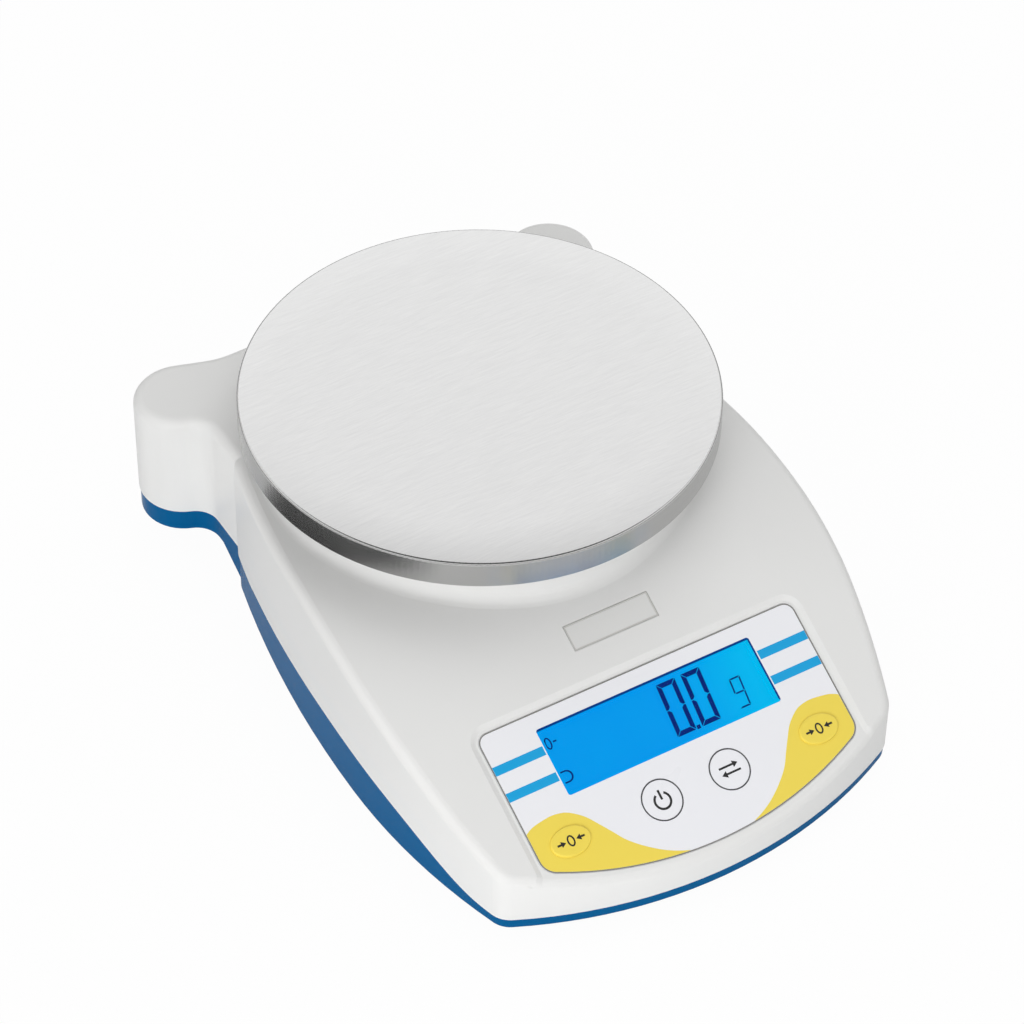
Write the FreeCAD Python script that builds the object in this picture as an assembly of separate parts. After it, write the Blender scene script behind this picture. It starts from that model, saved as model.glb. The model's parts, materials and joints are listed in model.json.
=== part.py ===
import FreeCAD, Part
import math
import os
from FreeCAD import Placement, Rotation, Vector

# Portable bench balance: round steel pan on a white housing over a blue base tray.
# Millimetres, +Z up, front towards -Y, origin on the floor under the middle of the outline.

# Weighing pan, which sets the width of what is under it
pan_radius = 72.5
pan_sheet = 0.9
pan_rim_height = 8.9
pan_edge_radius = 0.8
pan_overhang = 9.1
pan_gap = 2.6

# Round neck under the pan
neck_top_radius = pan_radius - pan_overhang
neck_draft = 1.4
neck_base_radius = neck_top_radius + neck_draft
neck_front_y = -35.0
pan_axis_y = neck_front_y + neck_base_radius
neck_fillet = 4.2
neck_edge_fillet = 1.6
deck_thickness = 2.6
post_gap = 3.0

# Outline of the housing seen from above, right half
front_y = -112.5
front_radius = 146.5
corner_radius = 8.0
waist_margin = 1.0
waist_half = neck_base_radius + waist_margin
belly = 12.5
widest_half = waist_half + belly
widest_y = -29.2
side_front_radius = 205.0
side_back_radius = 378.0
tuck_depth = 1.8
tuck_x = waist_half + tuck_depth
tuck_radius = 8.0
back_ledge = 12.3
back_y = pan_axis_y + neck_base_radius + back_ledge
ear_radius = 14.2
ear_offset = 0.6
ear_x = waist_half + ear_offset
ear_inset = 8.6
ear_y = back_y - ear_inset
ear_neck_radius = 8.0
ear_back_slope = 20.0
back_blend_radius = 20.0

# Heights of the housing
foot_height = 2.5
panel_rise = 0.5
panel_slope = math.degrees(math.atan(panel_rise))
panel_inset = 18.6
panel_y = front_y + panel_inset
panel_z = 25.05
shell_proud = 0.72
middle_back_z = 59.5
middle_back_fall = 2.6
middle_roll_radius = 70.0
crown = 3.3
edge_back_z = middle_back_z - crown
edge_back_fall = 1.4
edge_roll_radius = 196.0
edge_fillet = 3.2
neck_root = 9.5
neck_base_z = middle_back_z - neck_root
neck_height = 10.0
neck_top_z = middle_back_z + neck_height
pan_top_z = neck_top_z + pan_gap + pan_rim_height

# Walls
side_wall = 2.4
top_wall = 3.2
base_inset = 0.4
base_wall = 2.6
floor_thickness = 2.6
base_edge_fillet = 1.2
seam_gap = 0.35
lip_gap = 0.2
lip_thickness = 1.2
lip_height = 2.4

# Seam between housing and base, side view: y and z of the points its curve goes through
seam_front_z = 7.0
seam_crest_z = 21.6
seam_back_z = 17.6
seam_points = [(-96.0, seam_front_z), (-85.0, 8.1), (-74.0, 11.6), (-61.0, 16.2), (-45.0, 19.6),
               (-15.0, seam_crest_z), (15.0, 20.5), (45.0, 18.1), (68.0, seam_back_z)]

# Raised undersides of the ears, each with a ramp down to the base in front of it
ear_floor_z = 9.8
ear_step_depth = 7.0
ear_step_x = waist_half - ear_step_depth
ear_step_ahead = 23.3
ear_step_y = ear_y - ear_step_ahead
ear_ramp_length = 13.0
ear_step_radius = 6.0

# What carries the pan
support_gap = 1.2
support_radius = pan_radius - pan_sheet - support_gap
post_rise = 2.7
post_top_z = neck_top_z + post_rise
support_seat = 1.4
support_plate_z = post_top_z + support_seat
support_plate = 2.0
support_rim_height = 4.6
support_rim_wall = 1.8
hub_radius = 16.0
hub_height = 4.8
post_radius = 10.0
rib_count = 6
rib_thickness = 2.0
rib_height = 2.6
pad_radius = 4.5
pad_inset = 12.4
pad_circle_radius = support_radius - pad_inset
support_screw_circle = 6.0
support_screw_bite = 8.0

# Load cell: aluminium beam along Y under the pan axis
cell_length = 75.0
cell_width = 16.0
cell_height = 15.0
cell_bottom_z = 26.0
cell_hole_radius = 5.0
cell_hole_pitch = 16.0
cell_slot_height = 3.0
cell_screw_pitch = 12.0
cell_screw_inset = 5.0
cell_screw_bite = 8.0
gauge_cover_length = 26.0
gauge_cover_width = 10.0
gauge_cover_height = 1.0
foot_pad_length = 20.0
foot_pad_height = 2.0
bracket_width = 24.0
bracket_plate = 5.0
bracket_corner = 5.0
bracket_web = 4.0
bracket_web_height = 10.0
spacer_length = 22.0
spacer_margin = 1.0
cell_boss_top_z = 12.0
cell_boss_margin = 2.0
stop_gap = 0.5
stop_boss_radius = 5.0
stop_boss_top_z = 17.0
stop_nut_radius = 4.0
stop_nut_height = 3.0

# Screws: shank radius, head radius, head height
m4 = (2.0, 3.6, 2.6)
m3 = (1.5, 2.8, 2.0)
m25 = (1.25, 2.3, 1.6)
head_share = 0.55
head_recess = 0.4
thread_gap = 0.05
hole_gap = 0.25
hole_spare = 1.0

# Front panel, in its own plane: u to the right, v up the slope, w out of the face
overlay_half = 54.1
overlay_top_v = 38.7
overlay_low_v = -17.7
overlay_low_radius = 123.0
overlay_top_corner = 3.5
overlay_low_corner = 5.5
overlay_thickness = 0.5
seat_border = 2.6
seat_side_slope = 1.6
window_half = 36.4
window_low_v = 12.3
window_high_v = 33.5
window_thickness = 1.0
window_ledge = 0.6
window_corner = 0.8
panel_gap = 0.12
key_film_gap = 0.25
round_key_u = 11.6
round_key_radius = 6.0
tare_key_u = 42.6
tare_half_length = 6.5
tare_half_width = 4.5
tare_dome = 0.7
key_top_w = 0.12
key_skirt_gap = 0.2
key_flange = 0.8
key_flange_thickness = 1.0
key_stem_radius = 2.2
key_hole_gap = 0.3
key_travel = 0.5
switch_side = 6.0
switch_height = 3.5
switch_button_radius = 1.7
switch_button_rise = 0.6
switch_button_depth = 0.9
switch_button_gap = 0.05

# Circuit board behind the panel
board_top_w = -10.0
board_thickness = 1.6
board_half = 50.5
board_low_v = -10.0
board_high_v = 40.0
board_screws_uv = [(47.0, 34.0), (27.5, -5.5)]
board_boss_radius = 3.2
board_screw_bite = 5.0
glass_half = 38.6
glass_low_v = 10.0
glass_high_v = 36.2
glass_gap = 0.2
glass_thickness = 2.2
guide_thickness = 3.2
frame_wall = 1.6
frame_gap = 0.15
frame_ledge = 2.0
strip_width = 2.0
strip_gap = 0.4
chip_height = 1.2
chip_places = [(0.0, 9.0, 10.0, 10.0), (14.5, 17.0, 5.0, 4.0), (-19.0, 8.0, 6.0, 4.0)]
shield_spot = (25.0, 4.5)
shield_length = 18.0
shield_width = 13.0
shield_height = 2.8

# Label plate in its recess above the panel
label_half = 14.2
label_low_v = 50.2
label_high_v = 58.0
label_depth = 0.7
label_thickness = 0.5
label_gap = 0.25

# Battery bay in the base, four AA cells side by side along Y
battery_radius = 7.1
battery_length = 49.2
battery_cap_radius = 2.7
battery_cap = 1.3
battery_edge = 0.6
battery_pitch = 14.7
bay_clear = 7.3
bay_length = 57.0
bay_side_gap = 0.6
bay_roof_gap = 0.9
bay_wall = 1.6
contact_sheet = 0.5
contact_height = 9.0
contact_width = 11.0
contact_button_radius = 2.0
spring_wire = 0.45
spring_radius = 3.2
spring_taper = 0.8
door_thickness = 2.0
door_lap = 1.8
door_tongue = 1.4
door_tongue_height = 0.8
door_gap = 0.3
tongue_gap = 0.05
door_travel = 8.0
door_frame = 2.2
door_frame_rise = 1.4
tongue_half = 4.0
tongue_shares = (0.12, 0.5, 0.88)
grip_ridges = 5
grip_inset = 6.0
grip_pitch = 2.4
grip_half = 9.0
grip_ridge = 1.2
grip_ridge_height = 0.5

# Rubber feet
foot_radius = 7.0
foot_recess = 1.5
foot_gap = 0.05
foot_edge = 0.5
foot_front = (widest_half - 26.3, front_y + 24.5)
foot_back = (waist_half - 21.8, back_y - 14.9)

# Screws that hold the two halves, as right-hand places with the height of the joint face
shell_screws = [(widest_half - 18.3, front_y + 36.5, 12.0), (widest_half - 12.8, 6.0, 24.0),
                (ear_x + 7.0, ear_y, 20.0)]
shell_boss_radius = 4.2
shell_screw_seat = 5.0
shell_screw_bite = 9.0

# Power inlet in the rear of the base
jack_x = -30.0
jack_width = 9.0
jack_depth = 12.5
jack_height = 10.6
jack_nose_radius = 4.0
jack_bore_radius = 2.9
jack_bore_depth = 9.5
jack_pin_radius = 1.0
jack_pin_back = 1.0

# Leads inside the housing: radius and the places each one goes through, on the base's floor
cell_lead_radius = 1.5
power_lead_radius = 1.2
plug_u = 36.0
jack_plug_u = 46.0
plug_v = 22.0
plug_width = 8.0
plug_depth = 5.0
plug_height = 5.4
plug_run = 12.0

os.makedirs("parts", exist_ok=True)

UP = Vector(0, 0, 1)
base_z = foot_height
floor_z = base_z + floor_thickness
slope = math.radians(panel_slope)
seat_under_w = shell_proud - top_wall * math.cos(slope)


# Small helpers

def box(x0, x1, y0, y1, z0, z1):
    return Part.makeBox(x1 - x0, y1 - y0, z1 - z0, Vector(x0, y0, z0))


def rod(x, y, z0, z1, radius):
    return Part.makeCylinder(radius, z1 - z0, Vector(x, y, z0), UP)


def rod_y(x, z, y0, y1, radius):
    return Part.makeCylinder(radius, y1 - y0, Vector(x, y0, z), Vector(0, 1, 0))


def ring(x, y, z0, z1, outer, inner):
    return rod(x, y, z0, z1, outer).cut(rod(x, y, z0 - 1.0, z1 + 1.0, inner))


def joined(shapes):
    return shapes[0].multiFuse(shapes[1:]).removeSplitter() if len(shapes) > 1 else shapes[0]


def mirrored(shape):
    return shape.mirror(Vector(0, 0, 0), Vector(1, 0, 0))


def both_sides(shape):
    return [shape, mirrored(shape)]


def save(name, shape):
    solids = shape.Solids
    result = solids[0] if len(solids) == 1 else Part.makeCompound(solids)
    result.exportStep("parts/" + name + ".step")
    print(name, len(solids), "solids", round(sum(s.Volume for s in solids), 1), result.isValid())


def arc_about(centre, radius, start_deg, end_deg):
    angles = [start_deg, (start_deg + end_deg) / 2.0, end_deg]
    spots = [Vector(centre[0] + radius * math.cos(math.radians(a)),
                    centre[1] + radius * math.sin(math.radians(a)), 0) for a in angles]
    return Part.Arc(*spots).toShape()


def heading(centre, spot):
    return math.degrees(math.atan2(spot[1] - centre[1], spot[0] - centre[0]))


def circles_meet(c1, r1, c2, r2, side):
    dx, dy = c2[0] - c1[0], c2[1] - c1[1]
    gap = math.hypot(dx, dy)
    along = (gap * gap + r1 * r1 - r2 * r2) / (2.0 * gap)
    across = side * math.sqrt(r1 * r1 - along * along)
    return (c1[0] + (along * dx - across * dy) / gap, c1[1] + (along * dy + across * dx) / gap)


def on_circle(centre, radius, degrees):
    angle = math.radians(degrees)
    return (centre[0] + radius * math.cos(angle), centre[1] + radius * math.sin(angle))


def line(a, b):
    return Part.makeLine(Vector(a[0], a[1], 0), Vector(b[0], b[1], 0))


# Outline of the housing from above

def housing_outline():
    front_centre = (0.0, front_y + front_radius)
    side_centre = (widest_half - side_front_radius, widest_y)
    back_centre = (widest_half - side_back_radius, widest_y)
    corner_centre = circles_meet(front_centre, front_radius - corner_radius,
                                 side_centre, side_front_radius - corner_radius, 1.0)
    if corner_centre[0] < 0:
        corner_centre = circles_meet(front_centre, front_radius - corner_radius,
                                     side_centre, side_front_radius - corner_radius, -1.0)
    front_end = heading(front_centre, corner_centre)
    side_start = heading(side_centre, corner_centre)

    side_end = math.degrees(math.acos((tuck_x - back_centre[0]) / side_back_radius))
    tuck_start = on_circle(back_centre, side_back_radius, side_end)
    tuck_centre = on_circle(tuck_start, tuck_radius, side_end + 180.0)
    tuck_end = math.degrees(math.acos((waist_half - tuck_centre[0]) / tuck_radius))
    waist = on_circle(tuck_centre, tuck_radius, tuck_end)

    ear_centre = (ear_x, ear_y)
    neck_x = waist_half + ear_neck_radius
    reach = ear_radius + ear_neck_radius
    neck_centre = (neck_x, ear_y - math.sqrt(reach * reach - (neck_x - ear_x) ** 2))
    neck_join = heading(neck_centre, ear_centre)
    ear_end = 90.0 + ear_back_slope
    slope_start = on_circle(ear_centre, ear_radius, ear_end)
    fall = math.tan(math.radians(ear_back_slope))
    slope_foot_x = slope_start[0] - (slope_start[1] - back_y) / fall
    trim = back_blend_radius * math.tan(math.radians(ear_back_slope / 2.0))
    blend_centre = (slope_foot_x - trim, back_y + back_blend_radius)
    blend_start = on_circle(blend_centre, back_blend_radius, -90.0 + ear_back_slope)

    half = [arc_about(corner_centre, corner_radius, front_end, side_start),
            arc_about(side_centre, side_front_radius, side_start, 0.0),
            arc_about(back_centre, side_back_radius, 0.0, side_end),
            arc_about(tuck_centre, tuck_radius, side_end, tuck_end),
            line(waist, (waist_half, neck_centre[1])),
            arc_about(neck_centre, ear_neck_radius, 180.0, neck_join),
            arc_about(ear_centre, ear_radius, neck_join - 180.0, ear_end),
            line(slope_start, blend_start),
            arc_about(blend_centre, back_blend_radius, -90.0 + ear_back_slope, -90.0)]
    front = arc_about(front_centre, front_radius, -180.0 - front_end, front_end)
    back = line((blend_centre[0], back_y), (-blend_centre[0], back_y))
    other = [mirrored(edge) for edge in half]
    ordered = Part.__sortEdges__([front, back] + half + other)
    return Part.Wire(ordered)


def prism(wire, z0, z1):
    face = Part.Face(wire)
    face.translate(Vector(0, 0, z0))
    return face.extrude(Vector(0, 0, z1 - z0))


outline = housing_outline()


def shrunk(distance):
    return outline.makeOffset2D(-distance)


# Crowned top: one side profile at each edge and one on the centre line, joined by a smooth skin

def panel_height(y, proud):
    return panel_z + (y - panel_y) * math.tan(slope) + proud / math.cos(slope)


def top_profile(x, back_z, back_fall, roll_radius, drop):
    rise = math.tan(slope)
    fall = math.tan(math.radians(back_fall))
    start_z = panel_height(0.0, shell_proud) - drop
    level_z = back_z + pan_axis_y * fall - drop
    meet_y = (level_z - start_z) / (rise + fall)
    meet_z = start_z + rise * meet_y
    turn = slope + math.radians(back_fall)
    trim = roll_radius * math.tan(turn / 2.0)
    back_angle = math.radians(back_fall)
    front_end = Vector(x, meet_y - trim * math.cos(slope), meet_z - trim * math.sin(slope))
    back_start = Vector(x, meet_y + trim * math.cos(back_angle), meet_z - trim * math.sin(back_angle))
    centre_y = front_end.y + roll_radius * math.sin(slope)
    centre_z = front_end.z - roll_radius * math.cos(slope)
    middle = (slope - back_angle) / 2.0
    crest = Vector(x, centre_y - roll_radius * math.sin(middle), centre_z + roll_radius * math.cos(middle))
    ahead = front_y - 12.0
    behind = ear_y + ear_radius + 12.0
    low = -10.0
    front_top = Vector(x, ahead, start_z + rise * ahead)
    back_top = Vector(x, behind, level_z - fall * behind)
    edges = [Part.makeLine(front_top, front_end),
             Part.Arc(front_end, crest, back_start).toShape(),
             Part.makeLine(back_start, back_top),
             Part.makeLine(back_top, Vector(x, behind, low)),
             Part.makeLine(Vector(x, behind, low), Vector(x, ahead, low)),
             Part.makeLine(Vector(x, ahead, low), front_top)]
    return Part.Wire(edges)


def under_top(drop):
    reach = widest_half + 6.0
    edge_shape = (edge_back_z, edge_back_fall, edge_roll_radius, drop)
    middle_shape = (middle_back_z, middle_back_fall, middle_roll_radius, drop)
    wires = [top_profile(-reach, *edge_shape), top_profile(0.0, *middle_shape),
             top_profile(reach, *edge_shape)]
    return Part.makeLoft(wires, True, False)


def neck_cone(inset, top_z):
    taper = (neck_base_radius - neck_top_radius) / (neck_top_z - neck_base_z)
    low_radius = neck_base_radius - inset
    high_radius = low_radius - taper * (top_z - neck_base_z)
    centre = Vector(0, pan_axis_y, neck_base_z)
    return Part.makeCone(low_radius, high_radius, top_z - neck_base_z, centre, UP)


# Panel frame: everything on the sloping front is drawn flat and then laid on the slope

PANEL = Placement(Vector(0, panel_y, panel_z), Rotation(Vector(1, 0, 0), panel_slope))


def on_panel(shape):
    laid = shape.copy()
    laid.Placement = PANEL.multiply(laid.Placement)
    return laid


def slab(wire, w0, w1):
    face = Part.Face(wire)
    face.translate(Vector(0, 0, w0))
    return face.extrude(Vector(0, 0, w1 - w0))


def overlay_wire(grow):
    half = overlay_half + grow
    top = overlay_top_v + grow
    low_radius = overlay_low_radius + grow
    top_corner = overlay_top_corner + grow
    low_corner = overlay_low_corner + grow
    arc_centre = (0.0, overlay_low_v + overlay_low_radius)
    corner_u = half - low_corner
    corner_v = arc_centre[1] - math.sqrt((low_radius - low_corner) ** 2 - corner_u ** 2)
    low_end = heading(arc_centre, (corner_u, corner_v))
    top_centre = (half - top_corner, top - top_corner)
    side = [arc_about((corner_u, corner_v), low_corner, low_end, 0.0),
            line((half, corner_v), (half, top_centre[1])),
            arc_about(top_centre, top_corner, 0.0, 90.0)]
    low = arc_about(arc_centre, low_radius, -180.0 - low_end, low_end)
    high = line((top_centre[0], top), (-top_centre[0], top))
    return Part.Wire(Part.__sortEdges__([low, high] + side + [mirrored(edge) for edge in side]))


def recess_wire(grow, w):
    half = overlay_half + grow
    top = overlay_top_v + grow
    corner = overlay_top_corner + grow
    low = overlay_low_v - 12.0
    edges = [line((-half, low), (half, low)), line((half, low), (half, top - corner)),
             arc_about((half - corner, top - corner), corner, 0.0, 90.0),
             line((half - corner, top), (corner - half, top)),
             arc_about((corner - half, top - corner), corner, 90.0, 180.0),
             line((-half, top - corner), (-half, low))]
    wire = Part.Wire(edges)
    wire.translate(Vector(0, 0, w))
    return wire


def seat_recess():
    low = recess_wire(seat_border - seat_side_slope, 0.0)
    ramp = Part.makeLoft([low, recess_wire(seat_border, shell_proud)], True, True)
    above = slab(recess_wire(seat_border, 0.0), shell_proud, shell_proud + 4.0)
    return on_panel(ramp.fuse(above).removeSplitter())


def outer_form():
    block = prism(outline, base_z, pan_top_z).common(under_top(0.0))
    block = block.cut(seat_recess())
    form = block.fuse(neck_cone(0.0, neck_top_z)).removeSplitter()
    return form


def on_outline(spot):
    flat = Part.Vertex(spot.x, spot.y, 0)
    return flat.distToShape(outline)[0] < 0.01


def rim_edges(form):
    found = []
    for edge in form.Edges:
        spots = edge.discretize(5)
        if min(p.z for p in spots) > seam_front_z + 3.0 and all(on_outline(p) for p in spots):
            if math.hypot(spots[0].x - spots[-1].x, spots[0].y - spots[-1].y) > 0.1:
                found.append(edge)
    return found


def neck_edges(form):
    foot, top = [], []
    for edge in form.Edges:
        spots = edge.discretize(9)
        radii = [math.hypot(p.x, p.y - pan_axis_y) for p in spots]
        drop = max(p.z for p in spots) - min(p.z for p in spots)
        if max(radii) > neck_base_radius + 0.1 or min(radii) < neck_top_radius - 0.1:
            continue
        if min(p.z for p in spots) > neck_top_z - 0.01:
            top.append(edge)
        elif max(p.z for p in spots) < neck_top_z - 2.0:
            foot.append(edge)
    return foot, top


def outer_skin():
    form = outer_form()
    form = form.makeFillet(edge_fillet, rim_edges(form))
    form = form.makeFillet(neck_fillet, neck_edges(form)[0])
    return form.makeFillet(neck_edge_fillet, neck_edges(form)[1])


# Everything below the seam curve, as one block

def below_seam(drop):
    reach = widest_half + 10.0
    behind = ear_y + ear_radius + 10.0
    ahead = front_y - 10.0
    low = -10.0
    spots = [Vector(-reach, y, z - drop) for y, z in seam_points]
    curve = Part.BSplineCurve()
    level = Vector(0, 1, 0)
    curve.interpolate(Points=spots, InitialTangent=level, FinalTangent=level)
    front_top = Vector(-reach, ahead, seam_front_z - drop)
    back_top = Vector(-reach, behind, seam_back_z - drop)
    edges = [Part.makeLine(front_top, spots[0]), curve.toShape(), Part.makeLine(spots[-1], back_top),
             Part.makeLine(back_top, Vector(-reach, behind, low)),
             Part.makeLine(Vector(-reach, behind, low), Vector(-reach, ahead, low)),
             Part.makeLine(Vector(-reach, ahead, low), front_top)]
    return Part.Face(Part.Wire(edges)).extrude(Vector(2.0 * reach, 0, 0))


# Screws stand head down unless they are turned

def screw(size, length):
    shank, head, head_height = size
    body = rod(0, 0, -head_height, 0.0, head).fuse(rod(0, 0, -0.5, length, shank))
    drive = Part.makePolygon([Vector(*on_circle((0.0, 0.0), head_share * head, a), 0)
                              for a in range(0, 361, 60)])
    return body.cut(slab(drive, -head_height - 1.0, head_share * head_height - head_height)).removeSplitter()


def placed(shape, x, y, z, flip=False):
    moved = shape.copy()
    if flip:
        moved.rotate(Vector(0, 0, 0), Vector(1, 0, 0), 180.0)
    moved.translate(Vector(x, y, z))
    return moved


# Upper housing

def room_inside():
    inner = prism(shrunk(side_wall), base_z - 1.0, pan_top_z).common(under_top(top_wall))
    return inner.fuse(neck_cone(side_wall, neck_top_z - deck_thickness))


def oval(centre_u, half_length, half_width, w0, w1):
    curve = Part.Ellipse(Vector(centre_u, 0, 0), half_length, half_width).toShape()
    return slab(Part.Wire([curve]), w0, w1)


def window_block(inset, w0, w1):
    u = window_half - inset
    block = box(-u, u, window_low_v + inset, window_high_v - inset, w0, w1)
    upright = [e for e in block.Edges if abs(e.tangentAt(e.FirstParameter).z) > 0.9]
    return block.makeFillet(window_corner, upright)


def key_block(name, grow, w0, w1):
    kind, u = keys[name]
    if kind == "tare":
        return oval(u, tare_half_length + grow, tare_half_width + grow, w0, w1)
    return rod(u, 0, w0, w1, round_key_radius + grow)


keys = {"tare_left": ("tare", -tare_key_u), "power": ("round", -round_key_u),
        "unit": ("round", round_key_u), "tare_right": ("tare", tare_key_u)}


def label_block(grow, w0, w1):
    return box(-label_half - grow, label_half + grow, label_low_v - grow, label_high_v + grow, w0, w1)


def upper_housing():
    skin = outer_skin()
    room = room_inside()
    shell = skin.cut(room).cut(below_seam(0.0))
    posts = []
    for x, y, z in shell_screws:
        for sx in (x, -x):
            post = rod(sx, y, z, neck_top_z, shell_boss_radius).common(skin)
            posts.append(post)
    for u, v in board_screws_uv:
        for su in (u, -u):
            posts.append(on_panel(rod(su, v, board_top_w, seat_under_w + 0.4, board_boss_radius)))
    shell = shell.multiFuse(posts).removeSplitter()

    cuts = [on_panel(slab(overlay_wire(panel_gap), -overlay_thickness, 2.0)),
            on_panel(window_block(-panel_gap, -window_thickness, 1.0)),
            on_panel(window_block(window_ledge, seat_under_w - 2.0, 0.0)),
            on_panel(label_block(label_gap, shell_proud - label_depth, 4.0)),
            rod(0, pan_axis_y, neck_base_z, pan_top_z, post_radius + post_gap)]
    cuts += [on_panel(key_block(name, key_hole_gap, seat_under_w - 2.0, 1.0)) for name in keys]
    for x, y, z in shell_screws:
        for sx in (x, -x):
            cuts.append(rod(sx, y, z - 1.0, z + shell_screw_bite + hole_spare, m3[0] + thread_gap))
    for u, v in board_screws_uv:
        for su in (u, -u):
            cuts.append(on_panel(rod(su, v, board_top_w - 1.0, board_top_w + board_screw_bite + hole_spare,
                                     m25[0] + thread_gap)))
    return shell.cut(cuts[0].multiFuse(cuts[1:]))


# Lower housing

cell_front_y = pan_axis_y - cell_length / 2.0
cell_back_y = pan_axis_y + cell_length / 2.0
cell_top_z = cell_bottom_z + cell_height
stop_y = cell_front_y + foot_pad_length / 2.0
bay_half = 1.5 * battery_pitch + battery_radius + bay_side_gap
bay_back_y = stop_y - stop_boss_radius - bay_clear
bay_front_y = bay_back_y - bay_length
door_top_z = base_z + door_thickness
battery_z = door_top_z + 0.4 + battery_radius
bay_roof_z = battery_z + battery_radius + bay_roof_gap
door_half = bay_half + door_lap
door_front_y = bay_front_y - door_lap
door_back_y = bay_back_y + door_lap
door_frame_z = floor_z + door_frame_rise
tongue_spots = [bay_front_y + bay_length * share for share in tongue_shares]
cell_screw_seat_z = base_z + m4[2] + head_recess
fixed_screw_ys = [cell_back_y - cell_screw_inset, cell_back_y - cell_screw_inset - cell_screw_pitch]
free_screw_ys = [cell_front_y + cell_screw_inset, cell_front_y + cell_screw_inset + cell_screw_pitch]
wall_inner_y = back_y - side_wall - lip_gap - lip_thickness
jack_z = floor_z + jack_height / 2.0


def ear_step(grow):
    reach = widest_half + 20.0
    behind = ear_y + 40.0
    low = base_z - 5.0
    high = ear_floor_z + grow
    rise = (ear_floor_z - base_z) / ear_ramp_length
    lift = grow * math.hypot(1.0, rise)
    ramp_low_y = ear_step_y - (ear_floor_z - low + lift) / rise
    ramp_high_y = ear_step_y + (grow - lift) / rise
    side = [Vector(-reach, ramp_low_y, low), Vector(-reach, ramp_high_y, high),
            Vector(-reach, behind, high), Vector(-reach, behind, low), Vector(-reach, ramp_low_y, low)]
    around = Part.Face(Part.makePolygon(side)).extrude(Vector(2.0 * reach, 0, 0))
    keep = box(-ear_step_x + grow, ear_step_x - grow, front_y, back_y - base_inset - grow,
               base_z - 6.0, high + 1.0)
    corners = [e for e in keep.Edges
               if abs(e.tangentAt(e.FirstParameter).z) > 0.9 and e.BoundBox.YMin > 0.0]
    return around.cut(keep.makeFillet(ear_step_radius - grow, corners))


def base_skin():
    block = prism(shrunk(base_inset), base_z, pan_top_z).common(below_seam(seam_gap))
    low = [e for e in block.Edges if max(abs(p.z - base_z) for p in e.discretize(5)) < 0.01]
    return block.makeFillet(base_edge_fillet, low).cut(ear_step(0.0)).removeSplitter()


def door_room():
    reach = door_gap
    room = box(-door_half - reach, door_half + reach, door_front_y - door_travel - reach,
               door_back_y + reach, base_z - 1.0, door_top_z + reach)
    cuts = [room]
    for side in (1, -1):
        groove = box(door_half, door_half + door_tongue + reach, door_front_y - door_travel,
                     door_back_y, door_top_z - door_tongue_height - tongue_gap, door_top_z + reach)
        cuts.append(groove if side > 0 else mirrored(groove))
        for y in tongue_spots:
            notch = box(door_half, door_half + door_tongue + reach,
                        y - door_travel - tongue_half - reach, y - door_travel + tongue_half + reach,
                        base_z - 1.0, door_top_z + reach)
            cuts.append(notch if side > 0 else mirrored(notch))
    return cuts[0].multiFuse(cuts[1:])


def lower_housing():
    skin = base_skin()
    room = prism(shrunk(base_inset + base_wall), floor_z, pan_top_z).cut(ear_step(floor_thickness))
    tray = skin.cut(room)
    lip_outer = prism(shrunk(side_wall + lip_gap), floor_z - 0.5, pan_top_z)
    lip_inner = prism(shrunk(side_wall + lip_gap + lip_thickness), floor_z - 1.0, pan_top_z + 1.0)
    lip = lip_outer.cut(lip_inner).common(below_seam(-lip_height)).cut(ear_step(0.0))

    solids = [lip]
    for x, y, z in shell_screws:
        low = ear_floor_z if x > ear_step_x and y > ear_step_y else base_z
        for sx in (x, -x):
            solids.append(rod(sx, y, low + 1.0, z, shell_boss_radius))
    frame_grow = door_tongue + door_frame
    solids.append(box(-door_half - frame_grow, door_half + frame_grow, door_front_y - door_travel - 2.0,
                      door_back_y + 2.0, floor_z - 0.5, door_frame_z))
    solids.append(box(-bay_half - bay_wall, bay_half + bay_wall, bay_front_y - bay_wall,
                      bay_back_y + bay_wall, floor_z - 0.5, bay_roof_z + bay_wall))
    boss_half = cell_width / 2.0 + spacer_margin + cell_boss_margin
    solids.append(box(-boss_half, boss_half, cell_back_y - spacer_length - cell_boss_margin,
                      cell_back_y + cell_boss_margin, floor_z - 0.5, cell_boss_top_z))
    solids.append(rod(0, stop_y, floor_z - 0.5, stop_boss_top_z, stop_boss_radius))
    tray = tray.multiFuse(solids).removeSplitter()

    cuts = [box(-bay_half, bay_half, bay_front_y, bay_back_y, base_z - 1.0, bay_roof_z), door_room()]
    for x, y, z in shell_screws:
        for sx in (x, -x):
            cuts.append(rod(sx, y, 0.0, z - shell_screw_seat, m3[1] + hole_gap))
            cuts.append(rod(sx, y, 0.0, z + 1.0, m3[0] + hole_gap))
    for x, y in (foot_front, foot_back):
        for sx in (x, -x):
            cuts.append(rod(sx, y, 0.0, base_z + foot_recess, foot_radius + foot_gap))
    for y in fixed_screw_ys:
        cuts.append(rod(0, y, 0.0, cell_screw_seat_z, m4[1] + hole_gap))
        cuts.append(rod(0, y, 0.0, cell_boss_top_z + 1.0, m4[0] + hole_gap))
    cuts.append(rod(0, stop_y, floor_z + 0.6, stop_boss_top_z + 1.0, m4[0] + thread_gap))
    cuts.append(rod_y(jack_x, jack_z, wall_inner_y - 4.0, back_y + 4.0, jack_nose_radius + hole_gap))
    return tray.cut(cuts[0].multiFuse(cuts[1:]))


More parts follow.
